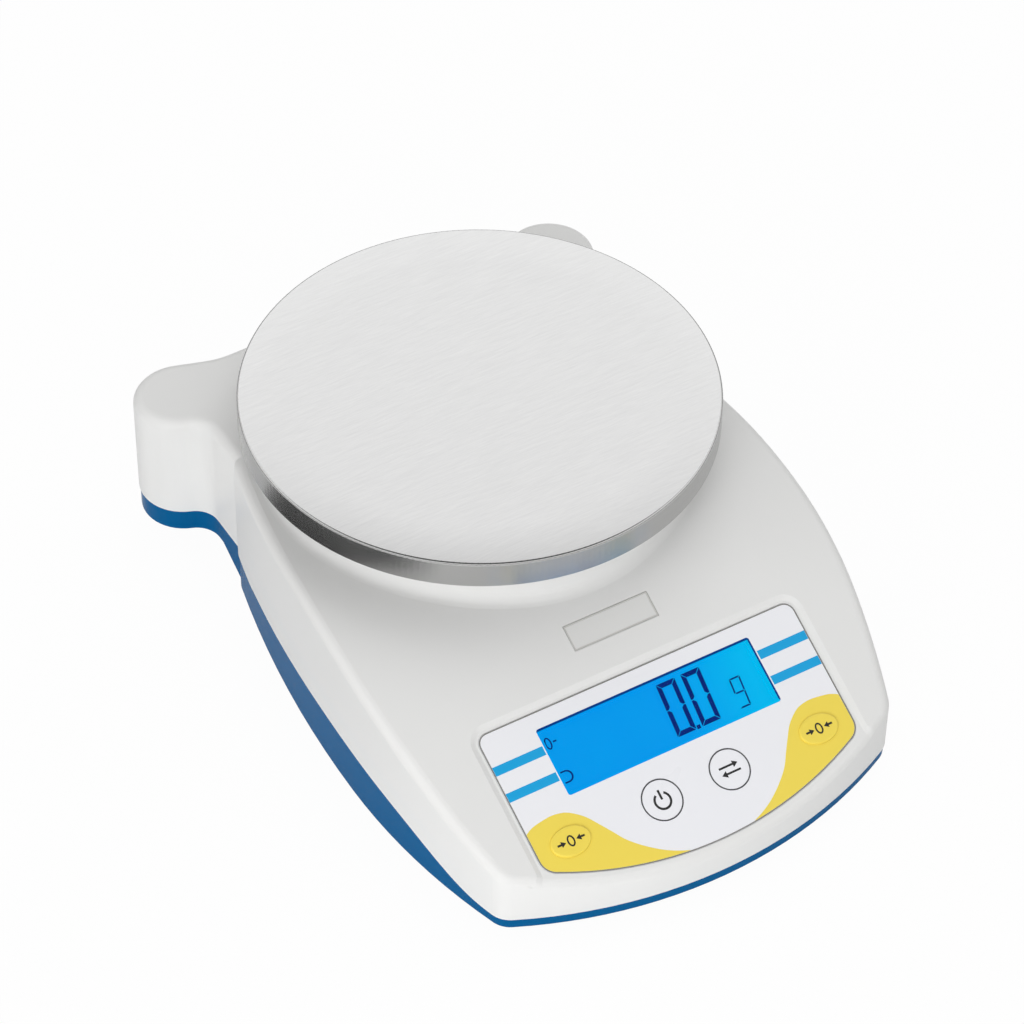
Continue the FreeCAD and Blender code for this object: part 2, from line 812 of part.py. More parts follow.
def battery_cover():
    plate = box(-door_half, door_half, door_front_y, door_back_y, base_z, door_top_z)
    parts = [plate]
    for y in tongue_spots:
        tongue = box(door_half - 0.5, door_half + door_tongue, y - tongue_half, y + tongue_half,
                     door_top_z - door_tongue_height, door_top_z)
        parts += both_sides(tongue)
    for i in range(grip_ridges):
        y = door_front_y + grip_inset + grip_pitch * i
        parts.append(box(-grip_half, grip_half, y - grip_ridge / 2.0, y + grip_ridge / 2.0,
                         base_z - grip_ridge_height, base_z + 0.5))
    return joined(parts)


def battery_cell(x, head):
    can = rod_y(0.0, 0.0, 0.0, battery_length, battery_radius)
    rims = [e for e in can.Edges if len(e.Vertexes) == 1]
    can = can.makeFillet(battery_edge, rims)
    cap = rod_y(0.0, 0.0, battery_length - battery_edge, battery_length + battery_cap, battery_cap_radius)
    cell = can.fuse(cap).removeSplitter()
    if head < 0:
        cell.rotate(Vector(0, 0, 0), UP, 180.0)
        cell.translate(Vector(0, battery_length + battery_cap, 0))
    cell.translate(Vector(x, cells_front_y, battery_z))
    return cell


battery_xs = [(i - 1.5) * battery_pitch for i in range(4)]
cells_front_y = bay_front_y + (bay_length - battery_length - battery_cap) / 2.0
cells_back_y = cells_front_y + battery_length + battery_cap


def batteries():
    return Part.makeCompound([battery_cell(x, 1 if i % 2 == 0 else -1) for i, x in enumerate(battery_xs)])


def contact_plates():
    front = (bay_front_y, bay_front_y + contact_sheet)
    back = (bay_back_y - contact_sheet, bay_back_y)
    low = battery_z - contact_height / 2.0
    high = battery_z + contact_height / 2.0
    half = contact_width / 2.0
    pieces = [box(x - half, x + half, y0, y1, low, high) for y0, y1 in (front, back) for x in battery_xs]
    for i, x in enumerate(battery_xs):
        ends = [(front[1], cells_front_y), (cells_back_y, back[0])]
        spring_end, button_end = ends if i % 2 == 0 else reversed(ends)
        pieces.append(contact_spring(x, *spring_end))
        pieces.append(rod_y(x, battery_z, *button_end, contact_button_radius))
    return Part.makeCompound(pieces)


def contact_spring(x, y0, y1):
    narrow = spring_radius - spring_taper
    base = Vector(x, y0, battery_z)
    along = Vector(0, 1, 0)
    outer = Part.makeCone(spring_radius, narrow, y1 - y0, base, along)
    return outer.cut(Part.makeCone(spring_radius - spring_wire, narrow - spring_wire, y1 - y0, base, along))


# Load cell and what it stands on

def load_cell():
    half = cell_width / 2.0
    beam = box(-half, half, cell_front_y, cell_back_y, cell_bottom_z, cell_top_z)
    mid_z = (cell_bottom_z + cell_top_z) / 2.0
    cuts = []
    for y in (pan_axis_y - cell_hole_pitch / 2.0, pan_axis_y + cell_hole_pitch / 2.0):
        cuts.append(Part.makeCylinder(cell_hole_radius, cell_width + 2.0, Vector(-half - 1.0, y, mid_z),
                                      Vector(1, 0, 0)))
    cuts.append(box(-half - 1.0, half + 1.0, pan_axis_y - cell_hole_pitch / 2.0,
                    pan_axis_y + cell_hole_pitch / 2.0, mid_z - cell_slot_height / 2.0,
                    mid_z + cell_slot_height / 2.0))
    deep = cell_screw_bite + hole_spare
    for y in fixed_screw_ys:
        cuts.append(rod(0, y, cell_bottom_z - 1.0, cell_bottom_z + deep, m4[0] + thread_gap))
    for y in free_screw_ys:
        cuts.append(rod(0, y, cell_top_z - deep, cell_top_z + 1.0, m4[0] + thread_gap))
    return beam.cut(cuts[0].multiFuse(cuts[1:]))


def gauge_covers():
    patches = []
    half = gauge_cover_width / 2.0
    reach = gauge_cover_length / 2.0
    for z0 in (cell_top_z, cell_bottom_z - gauge_cover_height):
        patches.append(box(-half, half, pan_axis_y - reach, pan_axis_y + reach, z0, z0 + gauge_cover_height))
    return Part.makeCompound(patches)


def cell_spacer():
    half = cell_width / 2.0 + spacer_margin
    block = box(-half, half, cell_back_y - spacer_length, cell_back_y, cell_boss_top_z, cell_bottom_z)
    for y in fixed_screw_ys:
        block = block.cut(rod(0, y, cell_boss_top_z - 1.0, cell_bottom_z + 1.0, m4[0] + hole_gap))
    return block


def cell_base_screws():
    length = cell_bottom_z + cell_screw_bite - cell_screw_seat_z
    return Part.makeCompound([placed(screw(m4, length), 0, y, cell_screw_seat_z) for y in fixed_screw_ys])


def bracket_screws():
    length = foot_pad_height + bracket_plate + cell_screw_bite
    top = cell_top_z + foot_pad_height + bracket_plate
    return Part.makeCompound([placed(screw(m4, length), 0, y, top, True) for y in free_screw_ys])


def load_bracket():
    plate_z = cell_top_z + foot_pad_height
    top = plate_z + bracket_plate
    half = bracket_width / 2.0
    pad_half = cell_width / 2.0
    foot = box(-pad_half, pad_half, cell_front_y, cell_front_y + foot_pad_length, cell_top_z, plate_z)
    plate = box(-half, half, cell_front_y, pan_axis_y + half, plate_z, top)
    ends = [e for e in plate.Edges if abs(e.tangentAt(e.FirstParameter).z) > 0.9]
    plate = plate.makeFillet(bracket_corner, ends)
    post = rod(0, pan_axis_y, top, post_top_z, post_radius)
    web = box(-bracket_web / 2.0, bracket_web / 2.0, free_screw_ys[-1] + m4[1] + hole_spare, pan_axis_y,
              top, top + bracket_web_height)
    body = foot.multiFuse([plate, post, web]).removeSplitter()
    for y in free_screw_ys:
        body = body.cut(rod(0, y, cell_top_z - 1.0, top + 1.0, m4[0] + hole_gap))
    for spot in support_screw_spots():
        body = body.cut(rod(*spot, post_top_z - support_screw_bite - hole_spare, post_top_z + 1.0,
                            m3[0] + thread_gap))
    return body


def support_screw_spots():
    return [on_circle((0.0, pan_axis_y), support_screw_circle, 90.0 + 120.0 * i) for i in range(3)]


support_top_z = support_plate_z + support_plate


def pan_support():
    centre = (0, pan_axis_y)
    plate = rod(*centre, support_plate_z, support_top_z, support_radius)
    rim = ring(*centre, support_plate_z, support_plate_z + support_rim_height, support_radius,
               support_radius - support_rim_wall)
    hub = rod(*centre, post_top_z, post_top_z + hub_height, hub_radius)
    parts = [plate, rim, hub]
    for i in range(rib_count):
        rib = box(hub_radius - 1.0, support_radius - 0.5, -rib_thickness / 2.0, rib_thickness / 2.0,
                  support_plate_z, support_top_z + rib_height)
        rib.rotate(Vector(0, 0, 0), UP, 360.0 / rib_count * i)
        rib.translate(Vector(0, pan_axis_y, 0))
        parts.append(rib)
    body = joined(parts)
    for spot in support_screw_spots():
        body = body.cut(rod(*spot, post_top_z - 1.0, post_top_z + hub_height + 1.0, m3[0] + hole_gap))
    return body


def support_screws():
    top = post_top_z + hub_height
    return Part.makeCompound([placed(screw(m3, hub_height + support_screw_bite), x, y, top, True)
                              for x, y in support_screw_spots()])


def pan_pads():
    pads = []
    for i in range(rib_count):
        x, y = on_circle((0.0, pan_axis_y), pad_circle_radius, 360.0 / rib_count * (i + 0.5))
        pads.append(rod(x, y, support_top_z, pan_top_z - pan_sheet, pad_radius))
    return Part.makeCompound(pads)


def weighing_pan():
    top = rod(0, pan_axis_y, pan_top_z - pan_rim_height, pan_top_z, pan_radius)
    upper = [e for e in top.Edges if len(e.Vertexes) == 1 and e.BoundBox.ZMin > pan_top_z - 0.1]
    top = top.makeFillet(pan_edge_radius, upper)
    return top.cut(rod(0, pan_axis_y, 0.0, pan_top_z - pan_sheet, pan_radius - pan_sheet))


def stop_screw():
    shank = rod(0, stop_y, floor_z + 2.0, cell_bottom_z - stop_gap, m4[0])
    return shank.makeChamfer(0.3, [e for e in shank.Edges if len(e.Vertexes) == 1])


def stop_nut():
    corners = [Vector(*on_circle((0.0, stop_y), stop_nut_radius, a), stop_boss_top_z)
               for a in range(0, 361, 60)]
    nut = slab(Part.makePolygon(corners), 0.0, stop_nut_height)
    top = stop_boss_top_z + stop_nut_height
    return nut.cut(rod(0, stop_y, stop_boss_top_z - 1.0, top + 1.0, m4[0] + thread_gap))


# Panel stack: overlay, keys, display and circuit board

def keypad_overlay():
    sheet = slab(overlay_wire(0.0), -overlay_thickness, 0.0)
    sheet = sheet.cut(window_block(-panel_gap, -2.0, 1.0))
    for name in keys:
        sheet = sheet.cut(key_block(name, key_film_gap, -2.0, 1.0))
    return on_panel(sheet)


def display_window():
    return on_panel(window_block(0.0, -window_thickness, -0.02))


board_low_w = board_top_w - board_thickness
key_skirt_w = seat_under_w - key_skirt_gap
key_flange_w = key_skirt_w - key_flange_thickness
switch_top_w = board_top_w + switch_height
button_top_w = switch_top_w + switch_button_rise
button_low_w = switch_top_w - switch_button_depth
switch_well_w = button_low_w - key_travel - 0.2
glass_top_w = seat_under_w - glass_gap
glass_low_w = glass_top_w - glass_thickness
guide_low_w = glass_low_w - guide_thickness


def key(name):
    kind, u = keys[name]
    if kind == "tare":
        cap = key_block(name, 0.0, key_flange_w + 0.5, tare_dome)
        rim = [e for e in cap.Edges if e.BoundBox.ZMin > tare_dome - 0.1]
        cap = cap.makeFillet(0.9 * tare_dome, rim)
    else:
        cap = key_block(name, 0.0, key_flange_w + 0.5, key_top_w)
        rim = [e for e in cap.Edges if len(e.Vertexes) == 1 and e.BoundBox.ZMin > key_top_w - 0.1]
        cap = cap.makeFillet(0.1, rim)
    flange = key_block(name, key_flange, key_flange_w, key_skirt_w)
    stem = rod(u, 0, button_top_w, key_flange_w + 0.2, key_stem_radius)
    return on_panel(cap.multiFuse([flange, stem]).removeSplitter())


def switch_button(name):
    u = keys[name][1]
    return on_panel(rod(u, 0, button_low_w, button_top_w, switch_button_radius))


def tact_switches():
    bodies = []
    half = switch_side / 2.0
    for name in keys:
        u = keys[name][1]
        body = box(u - half, u + half, -half, half, board_top_w, switch_top_w)
        well = rod(u, 0, switch_well_w, switch_top_w + 1.0, switch_button_radius + switch_button_gap)
        bodies.append(on_panel(body.cut(well)))
    return Part.makeCompound(bodies)


def display_glass():
    return on_panel(box(-glass_half, glass_half, glass_low_v, glass_high_v, glass_low_w, glass_top_w))


def light_guide():
    return on_panel(box(-glass_half, glass_half, glass_low_v + strip_width + strip_gap, glass_high_v,
                        guide_low_w, glass_low_w))


def contact_strip():
    return on_panel(box(-glass_half + 2.0, glass_half - 2.0, glass_low_v + 0.1, glass_low_v + strip_width,
                        board_top_w, glass_low_w))


def display_frame():
    half = glass_half + frame_gap
    low = glass_low_v - frame_gap
    high = glass_high_v + frame_gap
    outer = box(-half - frame_wall, half + frame_wall, low - frame_wall, high + frame_wall,
                board_top_w, glass_top_w)
    pocket = box(-half, half, low, high, guide_low_w, glass_top_w + 1.0)
    through = box(-half + frame_ledge, half - frame_ledge, low, high - frame_ledge,
                  board_top_w - 1.0, guide_low_w + 1.0)
    return on_panel(outer.cut(pocket).cut(through))


def main_board():
    board = box(-board_half, board_half, board_low_v, board_high_v, board_low_w, board_top_w)
    for u, v in board_screws_uv:
        for su in (u, -u):
            board = board.cut(rod(su, v, board_low_w - 1.0, board_top_w + 1.0, m25[0] + hole_gap))
    return on_panel(board)


def board_screws():
    length = board_thickness + board_screw_bite
    return Part.makeCompound([on_panel(placed(screw(m25, length), su, v, board_low_w))
                              for u, v in board_screws_uv for su in (u, -u)])


def under_board(u, v, wide, high, deep):
    return box(u - wide / 2.0, u + wide / 2.0, v - high / 2.0, v + high / 2.0,
               board_low_w - deep, board_low_w)


def controller_chips():
    chips = [under_board(u, v, wide, high, chip_height) for u, v, wide, high in chip_places]
    return Part.makeCompound([on_panel(chip) for chip in chips])


def signal_shield():
    return on_panel(under_board(*shield_spot, shield_length, shield_width, shield_height))


def board_plugs():
    blocks = [under_board(u, plug_v, plug_width, plug_depth, plug_height)
              for u in (plug_u, -plug_u, -jack_plug_u)]
    return Part.makeCompound([on_panel(block) for block in blocks])


def label_plate():
    floor_w = shell_proud - label_depth
    return on_panel(label_block(0.0, floor_w, floor_w + label_thickness))


# Power inlet

jack_face_y = back_y - base_inset
jack_bore_y = jack_face_y - jack_bore_depth


def power_jack():
    half = jack_width / 2.0
    body = box(jack_x - half, jack_x + half, wall_inner_y - jack_depth, wall_inner_y, floor_z,
               floor_z + jack_height)
    nose = rod_y(jack_x, jack_z, wall_inner_y - 1.0, jack_face_y, jack_nose_radius)
    bore = rod_y(jack_x, jack_z, jack_bore_y, jack_face_y + 1.0, jack_bore_radius)
    return body.fuse(nose).removeSplitter().cut(bore)


def jack_pin():
    return rod_y(jack_x, jack_z, jack_bore_y, jack_face_y - jack_pin_back, jack_pin_radius)


# Leads: straight runs joined by arcs as large as the runs allow

def lead(name, spots, radius):
    points = [Vector(*p) for p in spots]
    edges = []
    here = points[0]
    for before, corner, after in zip(points, points[1:], points[2:]):
        back = (before - corner)
        ahead = (after - corner)
        turn = math.pi - back.getAngle(ahead)
        bend = 0.45 * min(back.Length, ahead.Length) / math.tan(turn / 2.0)
        trim = bend * math.tan(turn / 2.0)
        back.normalize()
        ahead.normalize()
        start = corner + back * trim
        end = corner + ahead * trim
        inward = back + ahead
        inward.normalize()
        centre_gap = bend / math.cos(turn / 2.0)
        middle = corner + inward * (centre_gap - bend)
        edges.append(Part.makeLine(here, start))
        edges.append(Part.Arc(start, middle, end).toShape())
        here = end
        print("  bend", name, round(bend, 1), "turn", round(math.degrees(turn), 1))
    edges.append(Part.makeLine(here, points[-1]))
    path = Part.Wire(edges)
    first = points[1] - points[0]
    first.normalize()
    profile = Part.Wire([Part.makeCircle(radius, points[0], first)])
    tube = path.makePipeShell([profile], True, False)
    length = sum(e.Length for e in edges)
    print("  lead", name, "length", round(length, 1),
          "volume ratio", round(tube.Volume / (math.pi * radius * radius * length), 4))
    return tube


def plug_face(u):
    spot = PANEL.multVec(Vector(u, plug_v, board_low_w - plug_height))
    below = PANEL.multVec(Vector(u, plug_v, board_low_w - plug_height - plug_run))
    return [tuple(below), tuple(spot)]


cell_lead_route = [(cell_width / 2.0, 55.0, 31.0), (24.0, 55.0, 31.0), (38.0, 46.0, 17.0), (42.0, 24.0, 7.2),
                   (46.0, -6.0, 7.0), (46.0, -38.0, 7.2)] + plug_face(plug_u)
battery_lead_route = [(-bay_half - bay_wall, -22.0, 13.0), (-42.0, -22.0, 13.0), (-48.0, -34.0, 8.0),
                      (-43.0, -50.0, 7.2)] + plug_face(-plug_u)
jack_lead_route = [(jack_x, wall_inner_y - jack_depth, 8.5), (jack_x, 74.0, 8.5), (-38.0, 52.0, 7.0),
                   (-50.0, 26.0, 7.0), (-55.0, -2.0, 7.0), (-54.0, -26.0, 7.0),
                   (-51.0, -46.0, 7.2)] + plug_face(-jack_plug_u)


def rubber_feet():
    feet = []
    for x, y in (foot_front, foot_back):
        for sx in (x, -x):
            foot = rod(sx, y, 0.0, base_z + foot_recess, foot_radius)
            low = [e for e in foot.Edges if len(e.Vertexes) == 1 and e.BoundBox.ZMax < 0.1]
            feet.append(foot.makeFillet(foot_edge, low))
    return Part.makeCompound(feet)


def housing_screws():
    length = shell_screw_seat + shell_screw_bite
    return Part.makeCompound([placed(screw(m3, length), sx, y, z - shell_screw_seat)
                              for x, y, z in shell_screws for sx in (x, -x)])


save("upper_housing", upper_housing())
save("lower_housing", lower_housing())
save("housing_screws", housing_screws())
save("rubber_feet", rubber_feet())
save("battery_cover", battery_cover())
save("batteries", batteries())
save("battery_contacts", contact_plates())
save("load_cell", load_cell())
save("gauge_covers", gauge_covers())
save("cell_spacer", cell_spacer())
save("cell_base_screws", cell_base_screws())
save("overload_stop_screw", stop_screw())
save("overload_stop_nut", stop_nut())
save("load_bracket", load_bracket())
save("bracket_screws", bracket_screws())
save("pan_support", pan_support())
save("support_screws", support_screws())
save("pan_pads", pan_pads())
save("weighing_pan", weighing_pan())
save("keypad_overlay", keypad_overlay())
save("display_window", display_window())
save("display_glass", display_glass())
save("light_guide", light_guide())
save("contact_strip", contact_strip())
save("display_frame", display_frame())
save("main_board", main_board())
save("board_screws", board_screws())
save("controller_chips", controller_chips())
save("signal_shield", signal_shield())
save("board_plugs", board_plugs())
save("tact_switches", tact_switches())
for name in keys:
    save("key_" + name, key(name))
    save("switch_button_" + name, switch_button(name))
save("label_plate", label_plate())
save("power_jack", power_jack())
save("jack_pin", jack_pin())
save("cell_lead", lead("cell", cell_lead_route, cell_lead_radius))
save("battery_lead", lead("battery", battery_lead_route, power_lead_radius))
save("jack_lead", lead("jack", jack_lead_route, power_lead_radius))
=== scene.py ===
# %% [markdown]
# A portable bench balance, dressed piece by piece.
#
# The balance stands on its bench with the round steel pan on top and the key panel sloping
# towards the user. The engineering solids give every place and size. This lesson loads them,
# sets up the camera, and then gives each visible piece the detail that a moulded, brushed or
# printed surface really has.

# %% Load the frame
import json
import math
import bpy
from mathutils import Matrix, Vector


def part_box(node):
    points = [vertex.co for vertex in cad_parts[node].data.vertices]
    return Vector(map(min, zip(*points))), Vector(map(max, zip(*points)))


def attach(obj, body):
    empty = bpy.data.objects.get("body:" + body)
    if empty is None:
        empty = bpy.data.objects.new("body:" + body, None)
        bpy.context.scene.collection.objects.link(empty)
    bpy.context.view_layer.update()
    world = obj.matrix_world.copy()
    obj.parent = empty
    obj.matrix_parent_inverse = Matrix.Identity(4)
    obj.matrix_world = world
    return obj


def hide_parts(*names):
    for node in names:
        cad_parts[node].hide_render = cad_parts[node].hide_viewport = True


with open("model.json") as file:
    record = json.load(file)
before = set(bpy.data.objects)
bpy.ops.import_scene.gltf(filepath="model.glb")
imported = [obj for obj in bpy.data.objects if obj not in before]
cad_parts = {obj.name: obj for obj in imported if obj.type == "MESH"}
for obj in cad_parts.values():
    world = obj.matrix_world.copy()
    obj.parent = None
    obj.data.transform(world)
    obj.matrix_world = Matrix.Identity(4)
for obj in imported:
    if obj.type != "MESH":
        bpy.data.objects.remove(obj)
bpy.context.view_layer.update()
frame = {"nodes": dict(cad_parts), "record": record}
nodes = frame["nodes"]
MM = 0.001

# %% [markdown]
# The camera comes first, because it decides which edges will be seen. A long lens far away
# keeps the pan nearly elliptical and the housing's sides nearly parallel. Its turn is written
# as compass, height and roll angles, and the matrix is built from them.

# %% Camera
CAMERA_PLACE = Vector((-0.4545, -0.7299, 0.9226))
CAMERA_COMPASS = math.radians(-31.548)
CAMERA_HEIGHT = math.radians(45.256)
CAMERA_ROLL = math.radians(0.9376)
CAMERA_LENS = 144.14

back = Vector((math.sin(CAMERA_COMPASS) * math.cos(CAMERA_HEIGHT),
               -math.cos(CAMERA_COMPASS) * math.cos(CAMERA_HEIGHT), math.sin(CAMERA_HEIGHT)))
level = Vector((math.cos(CAMERA_COMPASS), math.sin(CAMERA_COMPASS), 0.0))
upward = back.cross(level)
right = level * math.cos(CAMERA_ROLL) + upward * math.sin(CAMERA_ROLL)
upright = upward * math.cos(CAMERA_ROLL) - level * math.sin(CAMERA_ROLL)
camera_data = bpy.data.cameras.new("camera")
camera_data.lens = CAMERA_LENS
camera_data.sensor_width = 36.0
camera_data.clip_start = 0.01
camera = bpy.data.objects.new("camera", camera_data)
bpy.context.scene.collection.objects.link(camera)
turn = Matrix((right, upright, back)).transposed().to_4x4()
camera.matrix_world = Matrix.Translation(CAMERA_PLACE) @ turn
bpy.context.scene.camera = camera
print("camera looks along", [round(c, 3) for c in -back])

# %% [markdown]
# Every piece below is modelled with the same few moves, so each gets a small helper. Nothing
# may stay selected from the step before, because an operator acts on all that is selected.

# %% Helpers for choosing and finishing
def select_none():
    if bpy.context.mode != "OBJECT":
        bpy.ops.object.mode_set(mode="OBJECT")
    bpy.ops.object.select_all(action="DESELECT")


def choose(piece):
    select_none()
    piece.select_set(True)
    bpy.context.view_layer.objects.active = piece
    return piece


def named(name):
    piece = bpy.context.active_object
    piece.name = name
    piece.data.name = name
    return piece


def settle(piece):
    choose(piece)
    bpy.ops.object.transform_apply(location=True, rotation=True, scale=True)
    return piece


def smooth(piece, degrees):
    choose(piece)
    bpy.ops.object.shade_smooth_by_angle(angle=math.radians(degrees))
    return piece


def outward(piece):
    choose(piece)
    bpy.ops.object.mode_set(mode="EDIT")
    bpy.ops.mesh.select_all(action="SELECT")
    bpy.ops.mesh.remove_doubles(threshold=1e-6)
    bpy.ops.mesh.normals_make_consistent(inside=False)
    bpy.ops.object.mode_set(mode="OBJECT")
    return piece


def dress(piece, *materials):
    piece.data.materials.clear()
    for material in materials:
        piece.data.materials.append(material)


def finish_piece(piece, body, node_names, slot, *materials):
    if materials:
        dress(piece, *materials)
    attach(piece, body)
    if node_names:
        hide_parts(*node_names)
    triangles = sum(len(face.vertices) - 2 for face in piece.data.polygons)
    print(piece.name, "rides on", body, "with", triangles, "triangles")
    return piece


# %% [markdown]
# Node materials are built from a few links, so a short helper starts each one with the
# shader's constant values set on its own sockets, and others add a node, a pattern's place,
# a noise, a range, a colour blend and a bump.

# %% Helpers for materials
def new_material(name, **sockets):
    material = bpy.data.materials.new(name)
    material.use_nodes = True
    shader = shader_of(material)
    for key, value in sockets.items():
        shader.inputs[key.replace("_", " ")].default_value = value
    return material


def shader_of(material):
    return material.node_tree.nodes["Principled BSDF"]


def add_node(material, kind, values=None, **settings):
    node = material.node_tree.nodes.new(kind)
    for key, value in settings.items():
        setattr(node, key, value)
    for key, value in (values or {}).items():
        node.inputs[key].default_value = value
    return node


def link(material, source, socket, target, into):
    material.node_tree.links.new(source.outputs[socket], target.inputs[into])


def place_of(material, scale=(1.0, 1.0, 1.0), turn=(0.0, 0.0, 0.0), shift=(0.0, 0.0, 0.0)):
    source = add_node(material, "ShaderNodeTexCoord")
    mapping = add_node(material, "ShaderNodeMapping",
                       {"Scale": scale, "Rotation": turn, "Location": shift})
    link(material, source, "Object", mapping, "Vector")
    return mapping


def noise_of(material, mapping, scale, detail=3.0, roughness=0.55):
    noise = add_node(material, "ShaderNodeTexNoise",
                     {"Scale": scale, "Detail": detail, "Roughness": roughness})
    link(material, mapping, "Vector", noise, "Vector")
    return noise


def range_of(material, source, socket, low, high, start=0.0, end=1.0):
    spread = add_node(material, "ShaderNodeMapRange",
                      {"From Min": start, "From Max": end, "To Min": low, "To Max": high})
    link(material, source, socket, spread, "Value")
    return spread


def blended(material, factor, socket, first, second, into="Base Color"):
    blend = add_node(material, "ShaderNodeMix", data_type="RGBA")
    blend.inputs["A"].default_value = (*first, 1.0)
    blend.inputs["B"].default_value = (*second, 1.0)
    link(material, factor, socket, blend, "Factor")
    link(material, blend, "Result", shader_of(material), into)
    return blend


def bumped(material, height, socket, strength, distance):
    bump = add_node(material, "ShaderNodeBump", {"Strength": strength, "Distance": distance})
    link(material, height, socket, bump, "Height")
    link(material, bump, "Normal", shader_of(material), "Normal")
    return bump


print("materials before the first recipe", len(bpy.data.materials))

# %% [markdown]
# Most pieces are mouldings. A mould leaves a fine spark-eroded grain: soft highlights, never a
# mirror. A fine noise gives the grain as bump, and a slow one lets the roughness and the
# colour drift by a hair, as large mouldings do. One recipe with a few values serves them all.

# %% Moulded surfaces
GRAIN_DEPTH = 0.04 * MM
GLOSS_DRIFT = (-0.07, 0.08)


def moulded(name, colour, shade, roughness, grain=0.25, grain_size=4200.0, drift=22.0, **sockets):
    material = new_material(name, Roughness=roughness, **sockets)
    place = place_of(material)
    slow = noise_of(material, place, drift, 2.0)
    blended(material, slow, "Fac", colour, shade)
    fine = noise_of(material, place, grain_size, 2.0)
    gloss = range_of(material, slow, "Fac", *(roughness + drift for drift in GLOSS_DRIFT))
    link(material, gloss, "Result", shader_of(material), "Roughness")
    bumped(material, fine, "Fac", grain, GRAIN_DEPTH)
    return material


HOUSING = moulded("housing_white", (0.845, 0.845, 0.835), (0.825, 0.825, 0.813), 0.38)
BASE = moulded("base_blue", (0.0, 0.112, 0.30), (0.0, 0.100, 0.27), 0.18, grain=0.06,
               Specular_IOR_Level=0.06)
RUBBER = moulded("foot_rubber", (0.03, 0.03, 0.032), (0.04, 0.04, 0.042), 0.75, grain=0.6,
                 grain_size=1800.0)
INNER = moulded("inner_plastic", (0.05, 0.05, 0.055), (0.065, 0.065, 0.07), 0.5, grain=0.4)
BLACK = moulded("black_moulding", (0.018, 0.018, 0.02), (0.028, 0.028, 0.03), 0.4, grain=0.5,
                grain_size=2600.0)
IVORY = moulded("plug_ivory", (0.72, 0.67, 0.52), (0.68, 0.62, 0.46), 0.45)
GUIDE = moulded("guide_white", (0.80, 0.84, 0.88), (0.76, 0.80, 0.86), 0.25, grain=0.05)
SEALANT = moulded("sealant_white", (0.78, 0.78, 0.74), (0.68, 0.68, 0.63), 0.55, grain=0.8,
                  grain_size=700.0, drift=260.0)
SHEATH = moulded("lead_grey", (0.085, 0.09, 0.10), (0.07, 0.074, 0.082), 0.5, grain=0.5,
                 grain_size=2400.0)
LABEL = moulded("label_plate", (0.825, 0.825, 0.81), (0.80, 0.80, 0.785), 0.30, grain=0.15)
print("mouldings", len(bpy.data.materials))

# %% [markdown]
# The screws, the load cell and the contacts stay as the engineering solids drew them: their
# shapes are right, and only their surfaces were bare. The metal pieces share one recipe too.
# Cutting and drawing leave lines along one direction, so the noise is stretched along it, and
# it moves both the roughness and the bump.

# %% Worked metal
EVEN = (1.0, 1.0, 1.0)
LINE_DEPTH = 0.03 * MM
LINE_GLOSS = (-0.08, 0.10)
NOISE_SPAN = (0.3, 0.7)


def metal(name, colour, shade, roughness, lines, stretch, strength=0.12):
    material = new_material(name, Metallic=1.0, Roughness=roughness)
    place = place_of(material, scale=stretch)
    streaks = noise_of(material, place, lines, 4.0, 0.6)
    blended(material, streaks, "Fac", colour, shade)
    gloss = range_of(material, streaks, "Fac", *(roughness + drift for drift in LINE_GLOSS),
                     *NOISE_SPAN)
    link(material, gloss, "Result", shader_of(material), "Roughness")
    bumped(material, streaks, "Fac", strength, LINE_DEPTH)
    return material


ZINC = metal("zinc_steel", (0.60, 0.61, 0.63), (0.52, 0.53, 0.54), 0.32, 900.0, EVEN)
ALUMINIUM = metal("cell_aluminium", (0.78, 0.79, 0.80), (0.66, 0.67, 0.69), 0.34, 2600.0,
                  (1.0, 0.03, 1.0))
CASTING = metal("cast_aluminium", (0.55, 0.56, 0.58), (0.47, 0.48, 0.50), 0.55, 1500.0,
                EVEN, 0.5)
TINNED = metal("tin_plate", (0.68, 0.68, 0.69), (0.58, 0.58, 0.60), 0.28, 1200.0, (1.0, 0.15, 1.0))
BRASS = metal("pin_brass", (0.72, 0.60, 0.33), (0.62, 0.50, 0.26), 0.25, 2200.0, (1.0, 0.08, 1.0))
print("metals", [m.name for m in (ZINC, ALUMINIUM, CASTING, TINNED, BRASS)])

# %% [markdown]
# Three surfaces need a pattern of their own. The circuit board is green lacquer over copper
# tracks, drawn by a brick texture whose joints stand for the tracks. The board leans, so the
# bricks are stretched by the slope to keep their length on it. The conductive strip is
# rubber in thin dark and pale layers. The battery sleeves are dark with a metal collar at one
# end, told apart by how far along the cell a point lies.

# %% Board, strip and batteries
BOARD_STRETCH = 1.118
TRACK_WIDTH = 0.35 * MM
TRACK_PITCH = 2.1 * MM
TRACK_LENGTH = 11 * MM
COLLAR = (-23.5 * MM, -23.1 * MM)


def board_green():
    material = new_material("board_green", Roughness=0.30)
    place = place_of(material, scale=(1.0, BOARD_STRETCH, 0.0))
    tracks = add_node(material, "ShaderNodeTexBrick",
                      {"Color1": (0.012, 0.13, 0.045, 1.0), "Color2": (0.016, 0.16, 0.055, 1.0),
                       "Mortar": (0.03, 0.26, 0.09, 1.0), "Scale": 1.0,
                       "Mortar Size": TRACK_WIDTH, "Brick Width": TRACK_LENGTH,
                       "Row Height": TRACK_PITCH, "Bias": 0.1})
    link(material, place, "Vector", tracks, "Vector")
    link(material, tracks, "Color", shader_of(material), "Base Color")
    bumped(material, tracks, "Fac", 0.3, LINE_DEPTH)
    return material


